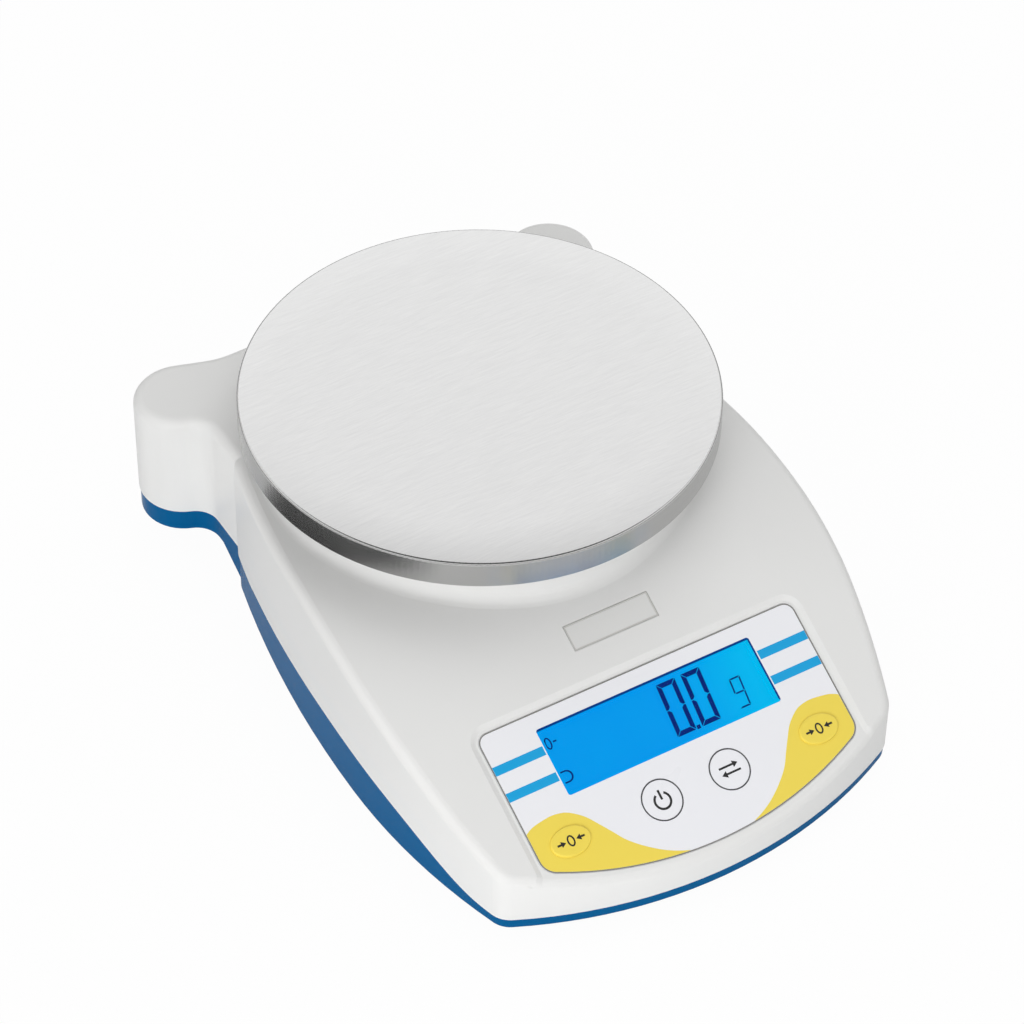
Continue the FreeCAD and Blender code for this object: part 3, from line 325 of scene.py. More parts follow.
def strip_rubber():
    material = new_material("strip_rubber", Roughness=0.6)
    place = place_of(material)
    layers = add_node(material, "ShaderNodeTexWave", {"Scale": 700.0, "Distortion": 0.2},
                      wave_type="BANDS", bands_direction="X")
    link(material, place, "Vector", layers, "Vector")
    blended(material, layers, "Fac", (0.05, 0.05, 0.05), (0.66, 0.60, 0.55))
    bumped(material, layers, "Fac", 0.3, LINE_DEPTH)
    return material


def battery_wrap():
    material = new_material("battery_wrap", Roughness=0.25)
    place = place_of(material)
    split = add_node(material, "ShaderNodeSeparateXYZ")
    link(material, place, "Vector", split, "Vector")
    collar = range_of(material, split, "Y", 0.0, 1.0, *COLLAR)
    slow = noise_of(material, place, 90.0, 2.0)
    gloss = range_of(material, slow, "Fac", 0.2, 0.34)
    link(material, gloss, "Result", shader_of(material), "Roughness")
    blended(material, collar, "Result", (0.022, 0.026, 0.035), (0.42, 0.33, 0.16))
    bumped(material, slow, "Fac", 0.15, 0.1 * MM)
    return material


BOARD = board_green()
STRIP = strip_rubber()
SLEEVE = battery_wrap()

by_slot = {"housing_white": HOUSING, "base_blue": BASE, "zinc_steel": ZINC, "foot_rubber": RUBBER,
           "inner_plastic": INNER, "board_green": BOARD, "cell_aluminium": ALUMINIUM,
           "cast_aluminium": CASTING, "label_silver": LABEL, "battery_wrap": SLEEVE,
           "strip_rubber": STRIP, "sealant_white": SEALANT, "lead_grey": SHEATH,
           "plug_ivory": IVORY, "chip_black": BLACK, "tin_plate": TINNED, "pin_brass": BRASS,
           "guide_white": GUIDE}
for row in frame["record"]["subparts"]:
    dress(nodes[row["node"]], by_slot.get(row["material_slot"], INNER))

# %% [markdown]
# The weighing pan is stainless steel, and three finishes meet on it. The top is brushed in
# straight strokes, made from two stretched noises, one fine and one broad. The rounded edge is
# polished. The skirt keeps the fine rings of the polishing wheel, which smear a reflection up
# and down but not sideways, so its shader is anisotropic: a bump alone would be too fine to see.

# %% Brushed and polished steel
def brushed_steel():
    material = new_material("pan_brushed", Metallic=1.0, Roughness=0.34)
    fine_place = place_of(material, scale=(0.05, 1.0, 1.0), turn=(0.0, 0.0, 0.035))
    strokes = noise_of(material, fine_place, 4200.0, 3.0, 0.8)
    broad_place = place_of(material, scale=(0.07, 1.0, 1.0), turn=(0.0, 0.0, -0.02))
    broad = noise_of(material, broad_place, 1100.0, 3.0, 0.7)
    tone = add_node(material, "ShaderNodeMath", {1: 0.6}, operation="MULTIPLY_ADD")
    link(material, broad, "Fac", tone, 0)
    link(material, strokes, "Fac", tone, 2)
    spread = range_of(material, tone, "Value", 0.0, 1.0, 0.5, 1.1)
    blended(material, spread, "Result", (0.83, 0.83, 0.83), (0.97, 0.97, 0.965))
    gloss = range_of(material, strokes, "Fac", 0.31, 0.42, *NOISE_SPAN)
    link(material, gloss, "Result", shader_of(material), "Roughness")
    bumped(material, strokes, "Fac", 0.16, 0.01 * MM)
    return material


def skirt_steel():
    material = new_material("pan_skirt", Metallic=1.0, Roughness=0.23, Anisotropic=0.9,
                            Anisotropic_Rotation=0.25)
    place = place_of(material, scale=(1.0, 1.0, 14.0))
    rings = noise_of(material, place, 260.0, 3.0)
    blended(material, rings, "Fac", (0.46, 0.46, 0.455), (0.53, 0.53, 0.525))
    gloss = range_of(material, rings, "Fac", 0.18, 0.28)
    link(material, gloss, "Result", shader_of(material), "Roughness")
    bumped(material, rings, "Fac", 0.03, 0.02 * MM)
    return material


BRUSHED = brushed_steel()
SKIRT = skirt_steel()
POLISHED = metal("pan_edge", (0.62, 0.62, 0.615), (0.56, 0.56, 0.555), 0.10, 900.0, EVEN, 0.02)
print("pan finishes", [m.name for m in (BRUSHED, POLISHED, SKIRT)])

# %% [markdown]
# The real pan is drawn from one disc: a flat top, a small rounded edge and a skirt turned down
# all round. It starts here as a circle filled with one face. Insets give the top its rings, an
# extrusion draws the skirt, a bevel rounds the edge and Solidify gives the sheet its thickness.
# A turned profile would do as well, but this way each step is one that the sheet goes through.

# %% The weighing pan
pan_low, pan_high = (Vector(corner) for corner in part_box("weighing_pan"))
pan_centre = (pan_low + pan_high) / 2
pan_radius = (pan_high.x - pan_low.x) / 2
PAN_SHEET = 0.9 * MM
PAN_EDGE = 0.8 * MM
PAN_RINGS = (0.21, 0.09, 0.15, 0.30)
RIM_REACH = 0.1 * MM
LEVEL_REACH = 0.01 * MM


def on_rim(spot):
    out = math.hypot(spot.x - pan_centre.x, spot.y - pan_centre.y)
    return abs(spot.z - pan_high.z) < LEVEL_REACH and out > pan_radius - RIM_REACH


def weighing_pan():
    select_none()
    bpy.ops.mesh.primitive_circle_add(vertices=256, radius=pan_radius, fill_type="NGON",
                                      location=(pan_centre.x, pan_centre.y, pan_high.z))
    pan = settle(named("pan_steel"))
    bpy.ops.object.mode_set(mode="EDIT")
    bpy.ops.mesh.select_all(action="SELECT")
    for share in PAN_RINGS:
        bpy.ops.mesh.inset(thickness=pan_radius * share, depth=0.0)
    bpy.ops.mesh.select_all(action="DESELECT")
    bpy.ops.mesh.select_non_manifold()
    bpy.ops.mesh.extrude_region_move(
        TRANSFORM_OT_translate={"value": (0, 0, pan_low.z - pan_high.z)})
    bpy.ops.object.mode_set(mode="OBJECT")
    for edge in pan.data.edges:
        edge.select = all(on_rim(pan.data.vertices[index].co) for index in edge.vertices)
    print("edges round the rim", sum(edge.select for edge in pan.data.edges))
    bpy.ops.object.mode_set(mode="EDIT")
    bpy.ops.mesh.select_mode(type="EDGE")
    bpy.ops.mesh.bevel(offset=PAN_EDGE, segments=8, affect="EDGES", clamp_overlap=False)
    bpy.ops.mesh.select_mode(type="VERT")
    bpy.ops.mesh.select_all(action="SELECT")
    bpy.ops.mesh.normals_make_consistent(inside=False)
    bpy.ops.object.mode_set(mode="OBJECT")
    wall = pan.modifiers.new("wall", "SOLIDIFY")
    wall.thickness = PAN_SHEET
    wall.offset = -1.0
    wall.use_even_offset = True
    choose(pan)
    bpy.ops.object.modifier_apply(modifier=wall.name)
    for face in pan.data.polygons:
        face.material_index = 0 if face.normal.z > 0.99 else 1 if face.normal.z > 0.04 else 2
    return smooth(pan, 50.0)


pan = weighing_pan()
for material in (BRUSHED, POLISHED, SKIRT):
    pan.data.materials.append(material)
finish_piece(pan, "pan", ["weighing_pan"], "pan_steel")

# %% [markdown]
# Everything on the sloping panel is easiest to draw flat, with x across the panel, y up it and
# z out of it. One matrix then lays the finished piece on the slope, and the transform is
# applied so the piece keeps its place in its mesh.

# %% The sloping panel
PANEL_ORIGIN = Vector((0.0, -93.9, 25.05)) * MM
PANEL_TURN = math.atan(0.5)
PANEL = Matrix.Translation(PANEL_ORIGIN) @ Matrix.Rotation(PANEL_TURN, 4, "X")
print("panel slopes", round(math.degrees(PANEL_TURN), 2), "degrees")


def laid_on_panel(piece):
    choose(piece)
    piece.matrix_world = PANEL @ piece.matrix_world
    bpy.ops.object.transform_apply(location=True, rotation=True, scale=True)
    return piece


# %% [markdown]
# The film over the panel is printed: cyan bars, yellow corners, rings and signs. Real ink lies
# a few hundredths of a millimetre high, so each colour is its own thin sheet. A flat curve is
# the quickest way to draw such a sheet: closed outlines are filled, holes included, a small
# extrusion gives the ink its thickness, and the curve is converted to a mesh.

# %% Printed sheets from flat outlines
INK_LOW = -0.03
INK_HIGH = 0.03


def printed(name, outlines, low=INK_LOW, high=INK_HIGH):
    select_none()
    curve = bpy.data.curves.new(name, "CURVE")
    curve.dimensions = "2D"
    curve.fill_mode = "BOTH"
    curve.extrude = (high - low) / 2 * MM
    curve.resolution_u = 10
    for outline in outlines:
        smooth_line = outline[0] == "smooth"
        points = outline[1:] if smooth_line else outline
        spline = curve.splines.new("BEZIER")
        spline.bezier_points.add(len(points) - 1)
        for point, (u, v) in zip(spline.bezier_points, points):
            point.co = (u * MM, v * MM, 0.0)
            point.handle_left_type = point.handle_right_type = "AUTO" if smooth_line else "VECTOR"
        spline.use_cyclic_u = True
    sheet = bpy.data.objects.new(name, curve)
    bpy.context.scene.collection.objects.link(sheet)
    choose(sheet)
    bpy.ops.object.convert(target="MESH")
    sheet = named(name)
    sheet.location.z = (low + high) / 2 * MM
    return outward(settle(sheet))


def arc(centre, radius, start, end, count, squeeze=1.0):
    turns = [math.radians(start + (end - start) * i / (count - 1)) for i in range(count)]
    return [(centre[0] + radius * math.cos(a), centre[1] + radius * squeeze * math.sin(a))
            for a in turns]


def round_outline(centre, radius, squeeze=1.0, count=16):
    return ["smooth"] + arc(centre, radius, 0, 360 - 360 / count, count, squeeze)


print("ink is", round(INK_HIGH - INK_LOW, 3), "mm thick")

# %% [markdown]
# Ink and film are smooth plastics with a very fine, shallow grain, so they take the moulded
# recipe at a smaller scale. Each colour is one finish, shared by the sheets printed in it.

# %% Ink and film finishes
def ink(name, colour, shade, roughness=0.32, **sockets):
    return moulded(name, colour, shade, roughness, 0.18, 5200.0, 60.0, **sockets)


FILM = ink("overlay_film", (0.93, 0.935, 0.97), (0.915, 0.92, 0.955), 0.30)
YELLOW = ink("ink_yellow", (0.95, 0.755, 0.105), (0.93, 0.73, 0.095))
CYAN = ink("ink_cyan", (0.0, 0.40, 0.80), (0.0, 0.38, 0.77))
GREY_INK = ink("ink_grey", (0.055, 0.055, 0.062), (0.075, 0.075, 0.082))
BLACK_INK = ink("ink_black", (0.012, 0.012, 0.012), (0.022, 0.022, 0.022))
EDGE_INK = ink("ink_edge", (0.21, 0.205, 0.19), (0.25, 0.245, 0.23))
for key, material in {"keypad_overlay": FILM, "key_power": FILM, "key_unit": FILM,
                      "key_tare_left": YELLOW, "key_tare_right": YELLOW}.items():
    dress(nodes[key], material)
print("inks", [m.name for m in (YELLOW, CYAN, GREY_INK, BLACK_INK, EDGE_INK)])

# %% [markdown]
# The film's outline is a rectangle with rounded corners whose lower edge swells out along a
# long arc. The same function gives the outline at any inset, so a thin dark line can run just
# inside the edge, and the yellow corners can end beside it.

# %% The film's outline
FILM_HALF = 54.1
FILM_TOP = 38.7
FILM_LOW = -17.7
FILM_RADIUS = 123.0
FILM_CORNERS = (3.5, 5.5)
EDGE_LINE = (0.05, 0.42)
PRINT_INSET = 0.46


def low_corner(inset):
    centre_u = FILM_HALF - FILM_CORNERS[1]
    reach = FILM_RADIUS - FILM_CORNERS[1]
    centre_v = FILM_LOW + FILM_RADIUS - math.sqrt(reach ** 2 - centre_u ** 2)
    turn = math.degrees(math.atan2(centre_v - FILM_LOW - FILM_RADIUS, centre_u))
    return (centre_u, centre_v), FILM_CORNERS[1] - inset, turn


def film_low_edge(u, inset):
    return FILM_LOW + FILM_RADIUS - math.sqrt((FILM_RADIUS - inset) ** 2 - u ** 2)


def film_outline(inset):
    centre, radius, turn = low_corner(inset)
    high = (FILM_HALF - FILM_CORNERS[0], FILM_TOP - FILM_CORNERS[0])
    side = arc(centre, radius, turn, 0, 8) + arc(high, FILM_CORNERS[0] - inset, 0, 90, 7)
    reach = side[0][0]
    low = [(u, film_low_edge(u, inset)) for u in (reach * (i / 12 - 1) for i in range(1, 24))]
    return low + side + [(-u, v) for u, v in reversed(side)]


edge_line = printed("film_edge_line", [film_outline(inset) for inset in EDGE_LINE])
finish_piece(laid_on_panel(edge_line), "base", [], "overlay_film", EDGE_INK)

# %% [markdown]
# Two cyan bars run from the window to the film's edge on each side. They are plain strips, so
# four corners draw each one, and the right pair is the left pair with its sign turned.

# %% Cyan bars beside the window
BARS = ((25.8, 28.6), (17.3, 20.1))
BAR_INNER = 36.9
BAR_OUTER = 53.62
for side, sign in (("left", -1), ("right", 1)):
    bars = [[(BAR_INNER * sign, low), (BAR_OUTER * sign, low),
             (BAR_OUTER * sign, high), (BAR_INNER * sign, high)] for low, high in BARS]
    piece = laid_on_panel(printed("cyan_bars_" + side, bars))
    finish_piece(piece, "base", [], "overlay_film", CYAN)

# %% [markdown]
# The yellow corners carry the tare keys. Their inner edge is one free wave, a smooth line
# through a few points, and their outer edge follows the film. The key stands through a hole in the ink, so
# an oval outline inside the sheet leaves that hole open, close round the key.

# %% Yellow corners
WAVE = ((BAR_OUTER, 6.9), (52.0, 7.75), (49.8, 8.4), (45.1, 9.0), (41.9, 8.75), (39.0, 7.75),
        (35.3, 4.9), (32.6, 1.45), (29.9, -2.3), (27.2, -6.1), (23.4, -9.7), (18.9, -13.0),
        (15.0, -15.1), (11.2, -16.6))
TARE_U = 42.6
TARE_HALF = (6.5, 4.5)
TARE_GAP = 0.02


def smooth_through(points, steps=6):
    ends = [points[0], *points, points[-1]]
    line = []
    for group in zip(ends, ends[1:], ends[2:], ends[3:]):
        for t in (step / steps for step in range(steps)):
            line.append(tuple(0.5 * (2 * b + (c - a) * t + (2 * a - 5 * b + 4 * c - d) * t ** 2
                                     + (3 * b - a - 3 * c + d) * t ** 3)
                              for a, b, c, d in zip(*group)))
    return line + [points[-1]]


def yellow_outline(sign):
    centre, radius, turn = low_corner(PRINT_INSET)
    corner = arc(centre, radius, turn, 0, 8)
    start, reach = WAVE[-1][0], corner[0][0]
    low = [(u, film_low_edge(u, PRINT_INSET))
           for u in (start + (reach - start) * i / 12 for i in range(12))]
    return [(u * sign, v) for u, v in smooth_through(WAVE) + low + corner]


def oval_outline(centre, half, count=24):
    return ["smooth"] + [(centre[0] + half[0] * math.cos(2 * math.pi * i / count),
                          centre[1] + half[1] * math.sin(2 * math.pi * i / count))
                         for i in range(count)]


for side, sign in (("left", -1), ("right", 1)):
    hole = oval_outline((TARE_U * sign, 0.0), [half + TARE_GAP for half in TARE_HALF])
    piece = laid_on_panel(printed("yellow_corner_" + side, [yellow_outline(sign), hole]))
    finish_piece(piece, "base", [], "overlay_film", YELLOW)

# %% [markdown]
# The small plate between the pan and the panel is left bare. A fine bead runs round it, which
# closes the joint between the plate and its seat. Its grey is painted shade: the soft dark outline
# that the plate's raised edge would shade.

# %% The bead round the bare plate
PLATE_HALF = 14.2
PLATE_LOW = 50.2
PLATE_HIGH = 58.0
PLATE_TOP = 0.57


def plate_outline(grow):
    half, low, high = PLATE_HALF + grow, PLATE_LOW - grow, PLATE_HIGH + grow
    return [(-half, low), (half, low), (half, high), (-half, high)]


# The bead's grey, darker than plate and shell, is painted shade along the joint.
SHADE_BEAD = ink("plate_bead_painted_shade", (0.66, 0.655, 0.63), (0.62, 0.615, 0.59), 0.4)
bead = laid_on_panel(printed("plate_bead_painted_shade", [plate_outline(0.1), plate_outline(-0.34)],
                             PLATE_TOP - 0.05, PLATE_TOP + 0.06))
finish_piece(bead, "base", [], "label_silver", SHADE_BEAD)

# %% [markdown]
# Signs are printed on the keys' own tops and move with them. The round keys are flat: a ring
# close about each belongs to the film, and the tops bear a power sign and two exchange arrows.
# Bars, arrows and a ring with a gap are all the strokes that the signs need.

# %% Ink strokes
def bar_outline(start, end, width):
    along = Vector((end[0] - start[0], end[1] - start[1])).normalized()
    across = Vector((-along.y, along.x)) * width / 2
    a, b = Vector(start), Vector(end)
    return [tuple(a + across), tuple(a - across), tuple(b - across), tuple(b + across)]


def arrow_outline(tail, tip, width, head):
    a, b = Vector(tail), Vector(tip)
    along = (b - a).normalized()
    across = Vector((-along.y, along.x))
    neck = b - along * head
    return [tuple(a + across * width / 2), tuple(a - across * width / 2),
            tuple(neck - across * width / 2), tuple(neck - across * head * 0.62), tuple(b),
            tuple(neck + across * head * 0.62), tuple(neck + across * width / 2)]


def gapped_ring(centre, radius, width, gap):
    start, end = 90 + gap, 450 - gap
    return arc(centre, radius + width / 2, start, end, 28) \
        + arc(centre, radius - width / 2, end, start, 28)


ROUND_U = 11.6
ROUND_TOP = 0.12
RING_OUTER = 6.42
RING_INNER = 6.01
POWER_SIGN = [gapped_ring((-ROUND_U, -0.3), 2.5, 0.7, 32),
              bar_outline((-ROUND_U, 3.1), (-ROUND_U, 0.1), 0.7)]
UNIT_SIGN = [arrow_outline((ROUND_U - 3.2, 1.1), (ROUND_U + 3.2, 1.1), 0.62, 1.7),
             arrow_outline((ROUND_U + 3.2, -1.1), (ROUND_U - 3.2, -1.1), 0.62, 1.7)]
for name, centre, sign in (("power", -ROUND_U, POWER_SIGN), ("unit", ROUND_U, UNIT_SIGN)):
    ring = [round_outline((centre, 0.0), radius) for radius in (RING_OUTER, RING_INNER)]
    piece = laid_on_panel(printed("ring_" + name, ring))
    finish_piece(piece, "base", [], "overlay_film", GREY_INK)
    piece = laid_on_panel(printed("sign_" + name, sign, ROUND_TOP + INK_LOW, ROUND_TOP + INK_HIGH))
    finish_piece(piece, "key_" + name, [], "overlay_film", BLACK_INK)

# %% [markdown]
# The tare keys stand higher than the film, with a well rounded edge and a flat top. Their sign
# is two arrows that point at a zero, printed on the flat.

# %% The tare signs
TARE_TOP = 0.7
for side, sign in (("left", -1), ("right", 1)):
    u = TARE_U * sign
    arrows = [arrow_outline((u - 4.5, 0.0), (u - 1.7, 0.0), 0.6, 1.5),
              arrow_outline((u + 4.5, 0.0), (u + 1.7, 0.0), 0.6, 1.5)]
    zero = [oval_outline((u, 0.0), (1.2, 1.75)), oval_outline((u, 0.0), (0.7, 1.25))]
    piece = laid_on_panel(printed("sign_tare_" + side, arrows + zero,
                                  TARE_TOP + INK_LOW, TARE_TOP + INK_HIGH))
    finish_piece(piece, "key_tare_" + side, [], "overlay_film", BLACK_INK)

# %% [markdown]
# The display is a lit cell set below the film, seen through a clear window. Its field glows
# blue and grows paler towards the lamp at its right edge, so one range across the cell leads
# from the deeper blue to the paler one. The figures are printed in the cell itself.

# %% The lit field
GLOW_START = 6.0 * MM
GLOW_END = 38.6 * MM
GLOW_SHARE = 0.86
MOTTLE_SHARE = 0.14


def lit_blue():
    material = new_material("display_blue", Roughness=0.35, Specular_IOR_Level=0.05,
                            Emission_Strength=0.78)
    place = place_of(material)
    split = add_node(material, "ShaderNodeSeparateXYZ")
    link(material, place, "Vector", split, "Vector")
    across = range_of(material, split, "X", 0.0, GLOW_SHARE, GLOW_START, GLOW_END)
    mottle = noise_of(material, place, 60.0, 2.0)
    mix = add_node(material, "ShaderNodeMath", {1: MOTTLE_SHARE}, operation="MULTIPLY_ADD")
    link(material, mottle, "Fac", mix, 0)
    link(material, across, "Result", mix, 2)
    blended(material, mix, "Value", (0.0, 0.035, 0.09), (0.0, 0.05, 0.10))
    blended(material, mix, "Value", (0.0, 0.36, 0.97), (0.0, 0.62, 1.0), "Emission Color")
    bumped(material, mottle, "Fac", 0.02, 0.02 * MM)
    return material


def clear_window():
    material = new_material("window_clear", Roughness=0.03, IOR=1.12, Transmission_Weight=1.0,
                            Base_Color=(0.90, 0.98, 1.0, 1.0), Specular_IOR_Level=0.12)
    place = place_of(material)
    haze = noise_of(material, place, 300.0, 3.0)
    gloss = range_of(material, haze, "Fac", 0.01, 0.05, *NOISE_SPAN)
    link(material, gloss, "Result", shader_of(material), "Roughness")
    return material


DISPLAY = lit_blue()
WINDOW = clear_window()
NAVY = ink("display_navy", (0.0, 0.018, 0.19), (0.0, 0.024, 0.22), 0.4, Specular_IOR_Level=0.08)
# Dark blue for the window border's painted shadow line along its far edges.
SHADOW_BLUE = ink("painted_shadow_blue", (0.0, 0.045, 0.25), (0.0, 0.055, 0.29), 0.5,
                  Specular_IOR_Level=0.08)
for key, material in {"display_glass": DISPLAY, "display_window": WINDOW}.items():
    dress(nodes[key], material)
print("display finishes", [m.name for m in (DISPLAY, WINDOW, NAVY, SHADOW_BLUE)])

# %% [markdown]
# A soft gasket stands between the cell and the housing, and its lip closes the gap under the
# window. Both are painted with the cell's glow, which stands in for the cell's light on them. The
# window's border is painted light too: a painted shadow line in dark blue along the two far edges,
# where the recess shows a fine line of shade, and the cell's glowing blue along the others.

# %% The gasket and the window's border
WELL_HALF = 35.8
WELL_LOW = 12.9
WELL_HIGH = 32.9
GLASS_TOP = -2.34
GASKET_WALL = 0.22
LIP = (-1.03, -0.97)


def rectangle(inset):
    half, low, high = WELL_HALF - inset, WELL_LOW + inset, WELL_HIGH - inset
    return [(-half, low), (half, low), (half, high), (-half, high)]


gasket = laid_on_panel(printed("display_gasket", [rectangle(0.02), rectangle(GASKET_WALL)],
                               GLASS_TOP + 0.02, LIP[0]))
# The gasket's glow is painted light: it takes the cell's emissive blue for the light the cell throws on
# it.
finish_piece(gasket, "base", [], "inner_plastic", DISPLAY)
lip = laid_on_panel(printed("gasket_lip", [rectangle(-0.5), rectangle(GASKET_WALL)], *LIP))
# The lip's glow is painted light in the same way.
finish_piece(lip, "base", [], "inner_plastic", DISPLAY)
BORDER = (-0.04, 0.02)
BORDER_HALF = 36.5
BORDER_LOW = 12.2
BORDER_HIGH = 33.6
BORDER_CORNER = 0.9


def border_corner(side, high, start, end):
    centre = (side * (BORDER_HALF - BORDER_CORNER),
              BORDER_HIGH - BORDER_CORNER if high else BORDER_LOW + BORDER_CORNER)
    return arc(centre, BORDER_CORNER, start, end, 7)


# Painted shadow: the dark strip along the top and right edges of the window.
PAINTED_SHADOW_SIDES = border_corner(-1, True, 180, 90) + border_corner(1, True, 90, 0) \
    + border_corner(1, False, 0, -90)[:4] + [(35.95, 13.0), (35.95, 32.9), (-36.2, 32.9)]
# Painted glow: the strip along the left and bottom edges takes the cell's emissive blue.
PAINTED_GLOW_SIDES = [(-36.5, 32.6), (-36.2, 32.88), (-35.75, 32.88), (-35.75, 12.95), (35.93, 12.95)] \
    + border_corner(1, False, -45, -90) + border_corner(-1, False, 270, 180)
# The dark border is painted shadow and the lit border is painted glow in the cell's emissive blue.
for name, outline, material in (("window_border_painted_shadow", PAINTED_SHADOW_SIDES, SHADOW_BLUE),
                                ("window_border_painted_glow", PAINTED_GLOW_SIDES, DISPLAY)):
    piece = laid_on_panel(printed(name, [outline], *BORDER))
    finish_piece(piece, "base", [], "overlay_film", material)

# %% [markdown]
# A figure is drawn from the seven bars that such a display has. The four outer corners are
# mitred, the bars meet in points at the middle, and a fine gap keeps neighbours apart. Only
# three bars are listed; the others are mirrored. Lit bars are named by the letters in
# common use: a on top, then clockwise to f, and g in the middle.

# %% Seven-segment figures
def figure_bars(corner, wide, high, width, gap, lean, lit):
    half = high / 2
    bars = {"a": [(gap, high), (wide - gap, high), (wide - width - gap, high - width),
                  (width + gap, high - width)],
            "b": [(wide, high - gap), (wide, half + gap), (wide - width / 2, half + gap),
                  (wide - width, half + gap + width / 2), (wide - width, high - width - gap)],
            "g": [(width / 2 + gap, half), (width + gap, half + width / 2),
                  (wide - width - gap, half + width / 2), (wide - width / 2 - gap, half),
                  (wide - width - gap, half - width / 2), (width + gap, half - width / 2)]}
    bars["c"] = [(x, high - y) for x, y in bars["b"]]
    bars["d"] = [(x, high - y) for x, y in bars["a"]]
    bars["e"] = [(wide - x, y) for x, y in bars["c"]]
    bars["f"] = [(wide - x, y) for x, y in bars["b"]]
    return [[(corner[0] + x + y * lean, corner[1] + y) for x, y in bars[letter]] for letter in lit]


SHIFT = (0.95, 0.57)
BIG = {"wide": 6.4, "high": 16.7, "width": 1.45, "gap": 0.14, "lean": 0.078}
SMALL = {"wide": 3.7, "high": 9.5, "width": 0.5, "gap": 0.14, "lean": 0.10}
ZERO = "abcdef"
UNIT_LETTER = "abcdfg"
figures = []
for corner, lit, size in (((1.9, 14.5), ZERO, BIG), ((10.4, 14.5), ZERO, BIG),
                          ((23.7, 14.6), UNIT_LETTER, SMALL)):
    figures += figure_bars((corner[0] + SHIFT[0], corner[1] + SHIFT[1]), lit=lit, **size)
figures.append([(u + SHIFT[0], v + SHIFT[1])
                for u, v in ((8.6, 14.3), (9.8, 14.3), (9.9, 15.5), (8.7, 15.5))])
marks = [round_outline((-34.0, 28.9), 1.05, 1.8), round_outline((-34.0, 28.9), 0.62, 2.35),
         bar_outline((-32.4, 28.9), (-31.3, 28.9), 0.5)]
marks.append([(-35.6, 19.9), (-33.4, 19.9)] + arc((-33.4, 18.0), 1.9, 80, -80, 9)
             + [(-33.4, 16.1), (-35.6, 16.1), (-35.6, 16.55), (-33.5, 16.55)]
             + arc((-33.5, 18.0), 1.45, -80, 80, 9) + [(-33.5, 19.45), (-35.6, 19.45)])
GLASS_INK = (GLASS_TOP - 0.02, GLASS_TOP + 0.03)
for name, outlines in (("display_figures", figures), ("display_marks", marks)):
    piece = laid_on_panel(printed(name, outlines, *GLASS_INK))
    finish_piece(piece, "base", [], "display_blue", NAVY)

# %% [markdown]
# The studio has a pale floor. To the camera it is plain white, and it still takes the
# balance's soft shadow: its glow reaches camera rays alone and leaves a small share to the
# light that falls on it. A dark card lies beside the balance for the reflections only, as
# photographers do for steel, so that the rim shows a dark sweep.

# %% Floor and card
FLOOR_WHITE = 0.965
FLOOR_SIZE = 6.0
CARD_PLACE = (-0.165, 0.005, 0.0004)
CARD_SIZE = (0.13, 0.19, 1.0)


def floor_white():
    material = new_material("floor_white", Base_Color=(0.90, 0.90, 0.90, 1.0), Roughness=0.9)
    tree = material.node_tree
    glow = add_node(material, "ShaderNodeEmission",
                    {"Color": (1.0, 1.0, 1.0, 1.0), "Strength": 1.0})
    path = add_node(material, "ShaderNodeLightPath")
    share = add_node(material, "ShaderNodeMath", {1: FLOOR_WHITE}, operation="MULTIPLY")
    blend = add_node(material, "ShaderNodeMixShader")
    link(material, path, "Is Camera Ray", share, 0)
    link(material, share, "Value", blend, 0)
    link(material, shader_of(material), 0, blend, 1)
    link(material, glow, 0, blend, 2)
    link(material, blend, 0, tree.nodes["Material Output"], "Surface")
    return material


select_none()
bpy.ops.mesh.primitive_plane_add(size=FLOOR_SIZE, location=(0, 0, 0))
floor = named("floor")
floor.data.materials.append(floor_white())

select_none()
bpy.ops.mesh.primitive_plane_add(size=1.0, location=CARD_PLACE)
card = named("dark_card")
card.scale = CARD_SIZE
settle(card)
dress(card, new_material("card_black", Base_Color=(0.02, 0.02, 0.02, 1.0), Roughness=0.9))
card.visible_camera = card.visible_diffuse = card.visible_shadow = False
card.visible_transmission = False
print("stage", floor.name, card.name)

# %% [markdown]
# Round the floor stands a pale tent, which is the world itself. The camera sees it plain
# white, and matt surfaces take a plain level of light from it. Steel and glass see the same
# white, but a real tent is darker near the ground and at its closed top, and those two bands
# draw a dark and a bright line along a polished edge. A colour ramp by height gives them.

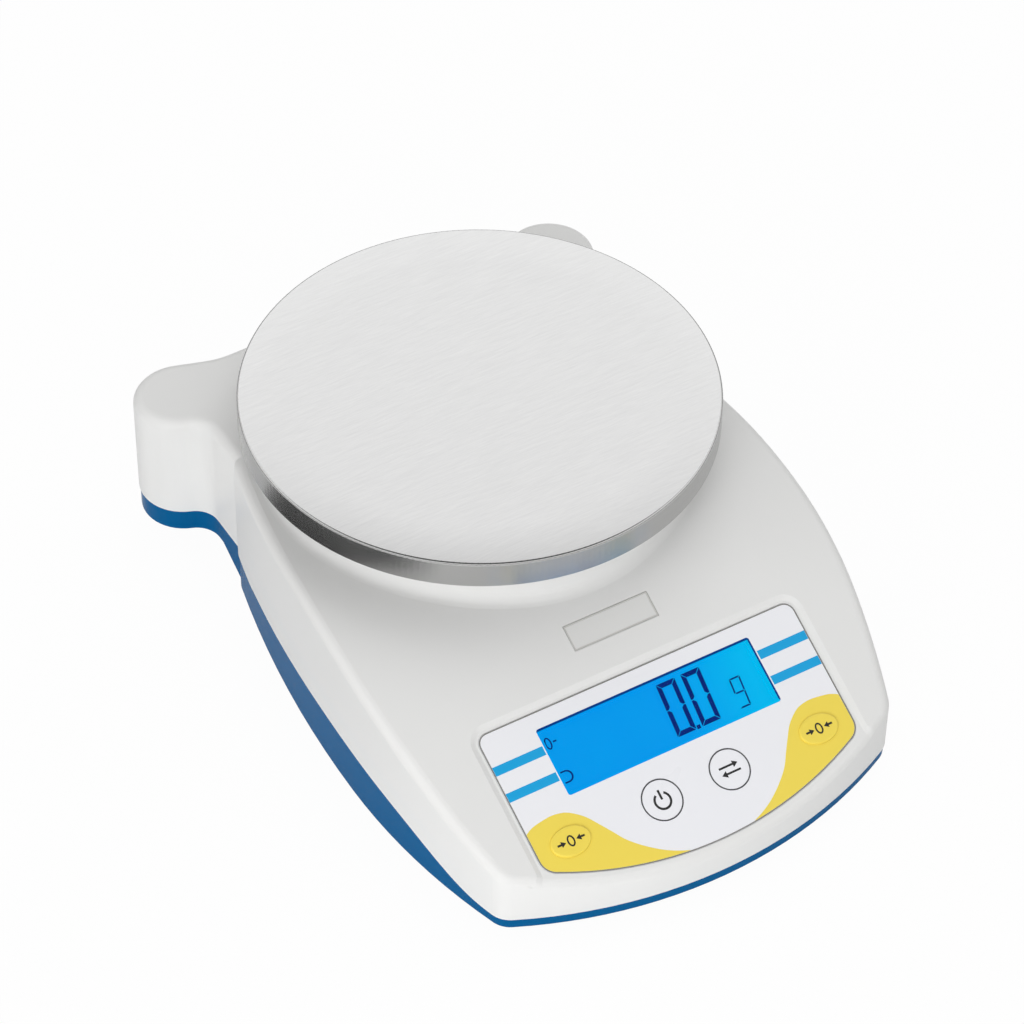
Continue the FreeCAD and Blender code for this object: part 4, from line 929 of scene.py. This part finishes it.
# %% The tent
world = bpy.data.worlds.new("tent")
bpy.context.scene.world = world
world.use_nodes = True
tree = world.node_tree
TENT_LEVEL = 0.52
TENT_BANDS = ((0.10, 0.12), (0.42, 1.0), (0.75, 1.0), (0.92, 0.12))
tent = tree.nodes["Background"]
tent.inputs["Color"].default_value = (1.0, 1.0, 1.0, 1.0)
heading = tree.nodes.new("ShaderNodeTexCoord")
split = tree.nodes.new("ShaderNodeSeparateXYZ")
bands = tree.nodes.new("ShaderNodeValToRGB")
while len(bands.color_ramp.elements) < len(TENT_BANDS):
    bands.color_ramp.elements.new(0.5)
for element, (height, level) in zip(bands.color_ramp.elements, TENT_BANDS):
    element.position = height
    element.color = (level, level, level, 1.0)
path = tree.nodes.new("ShaderNodeLightPath")
glossy = tree.nodes.new("ShaderNodeMix")
plain = tree.nodes.new("ShaderNodeMix")
glossy.inputs["A"].default_value = 1.0
plain.inputs["B"].default_value = TENT_LEVEL
tree.links.new(heading.outputs["Generated"], split.inputs["Vector"])
tree.links.new(split.outputs["Z"], bands.inputs["Fac"])
tree.links.new(path.outputs["Is Glossy Ray"], glossy.inputs["Factor"])
tree.links.new(bands.outputs["Color"], glossy.inputs["B"])
tree.links.new(path.outputs["Is Diffuse Ray"], plain.inputs["Factor"])
tree.links.new(glossy.outputs["Result"], plain.inputs["A"])
tree.links.new(plain.outputs["Result"], tent.inputs["Strength"])
print("tent", TENT_LEVEL, "floor", FLOOR_WHITE)

# %% [markdown]
# Two soft lamps shape the object: one high behind it on the right, and a lower one in front
# on the left. Both are kept out of reflections, because the tent's bands already draw those,
# and a lamp's square would stand out in the steel and in the film.

# %% The lamps
LAMP_TARGET = Vector((0.0, 0.0, 0.05))
LAMPS = {"key_lamp": ((0.5, 0.35, 1.1), (0.9, 0.9), 3.1),
         "fill_lamp": ((-0.85, -0.85, 0.42), (0.9, 0.6), 7.4)}


def lamp(name, place, size, power):
    data = bpy.data.lights.new(name, "AREA")
    data.shape = "RECTANGLE"
    data.size, data.size_y = size
    data.energy = power
    light = bpy.data.objects.new(name, data)
    bpy.context.scene.collection.objects.link(light)
    aim = (LAMP_TARGET - Vector(place)).to_track_quat("-Z", "Y")
    light.matrix_world = Matrix.Translation(place) @ aim.to_matrix().to_4x4()
    light.visible_glossy = False
    return light


for name, settings in LAMPS.items():
    lamp(name, *settings)
bpy.context.scene.view_settings.view_transform = "Standard"
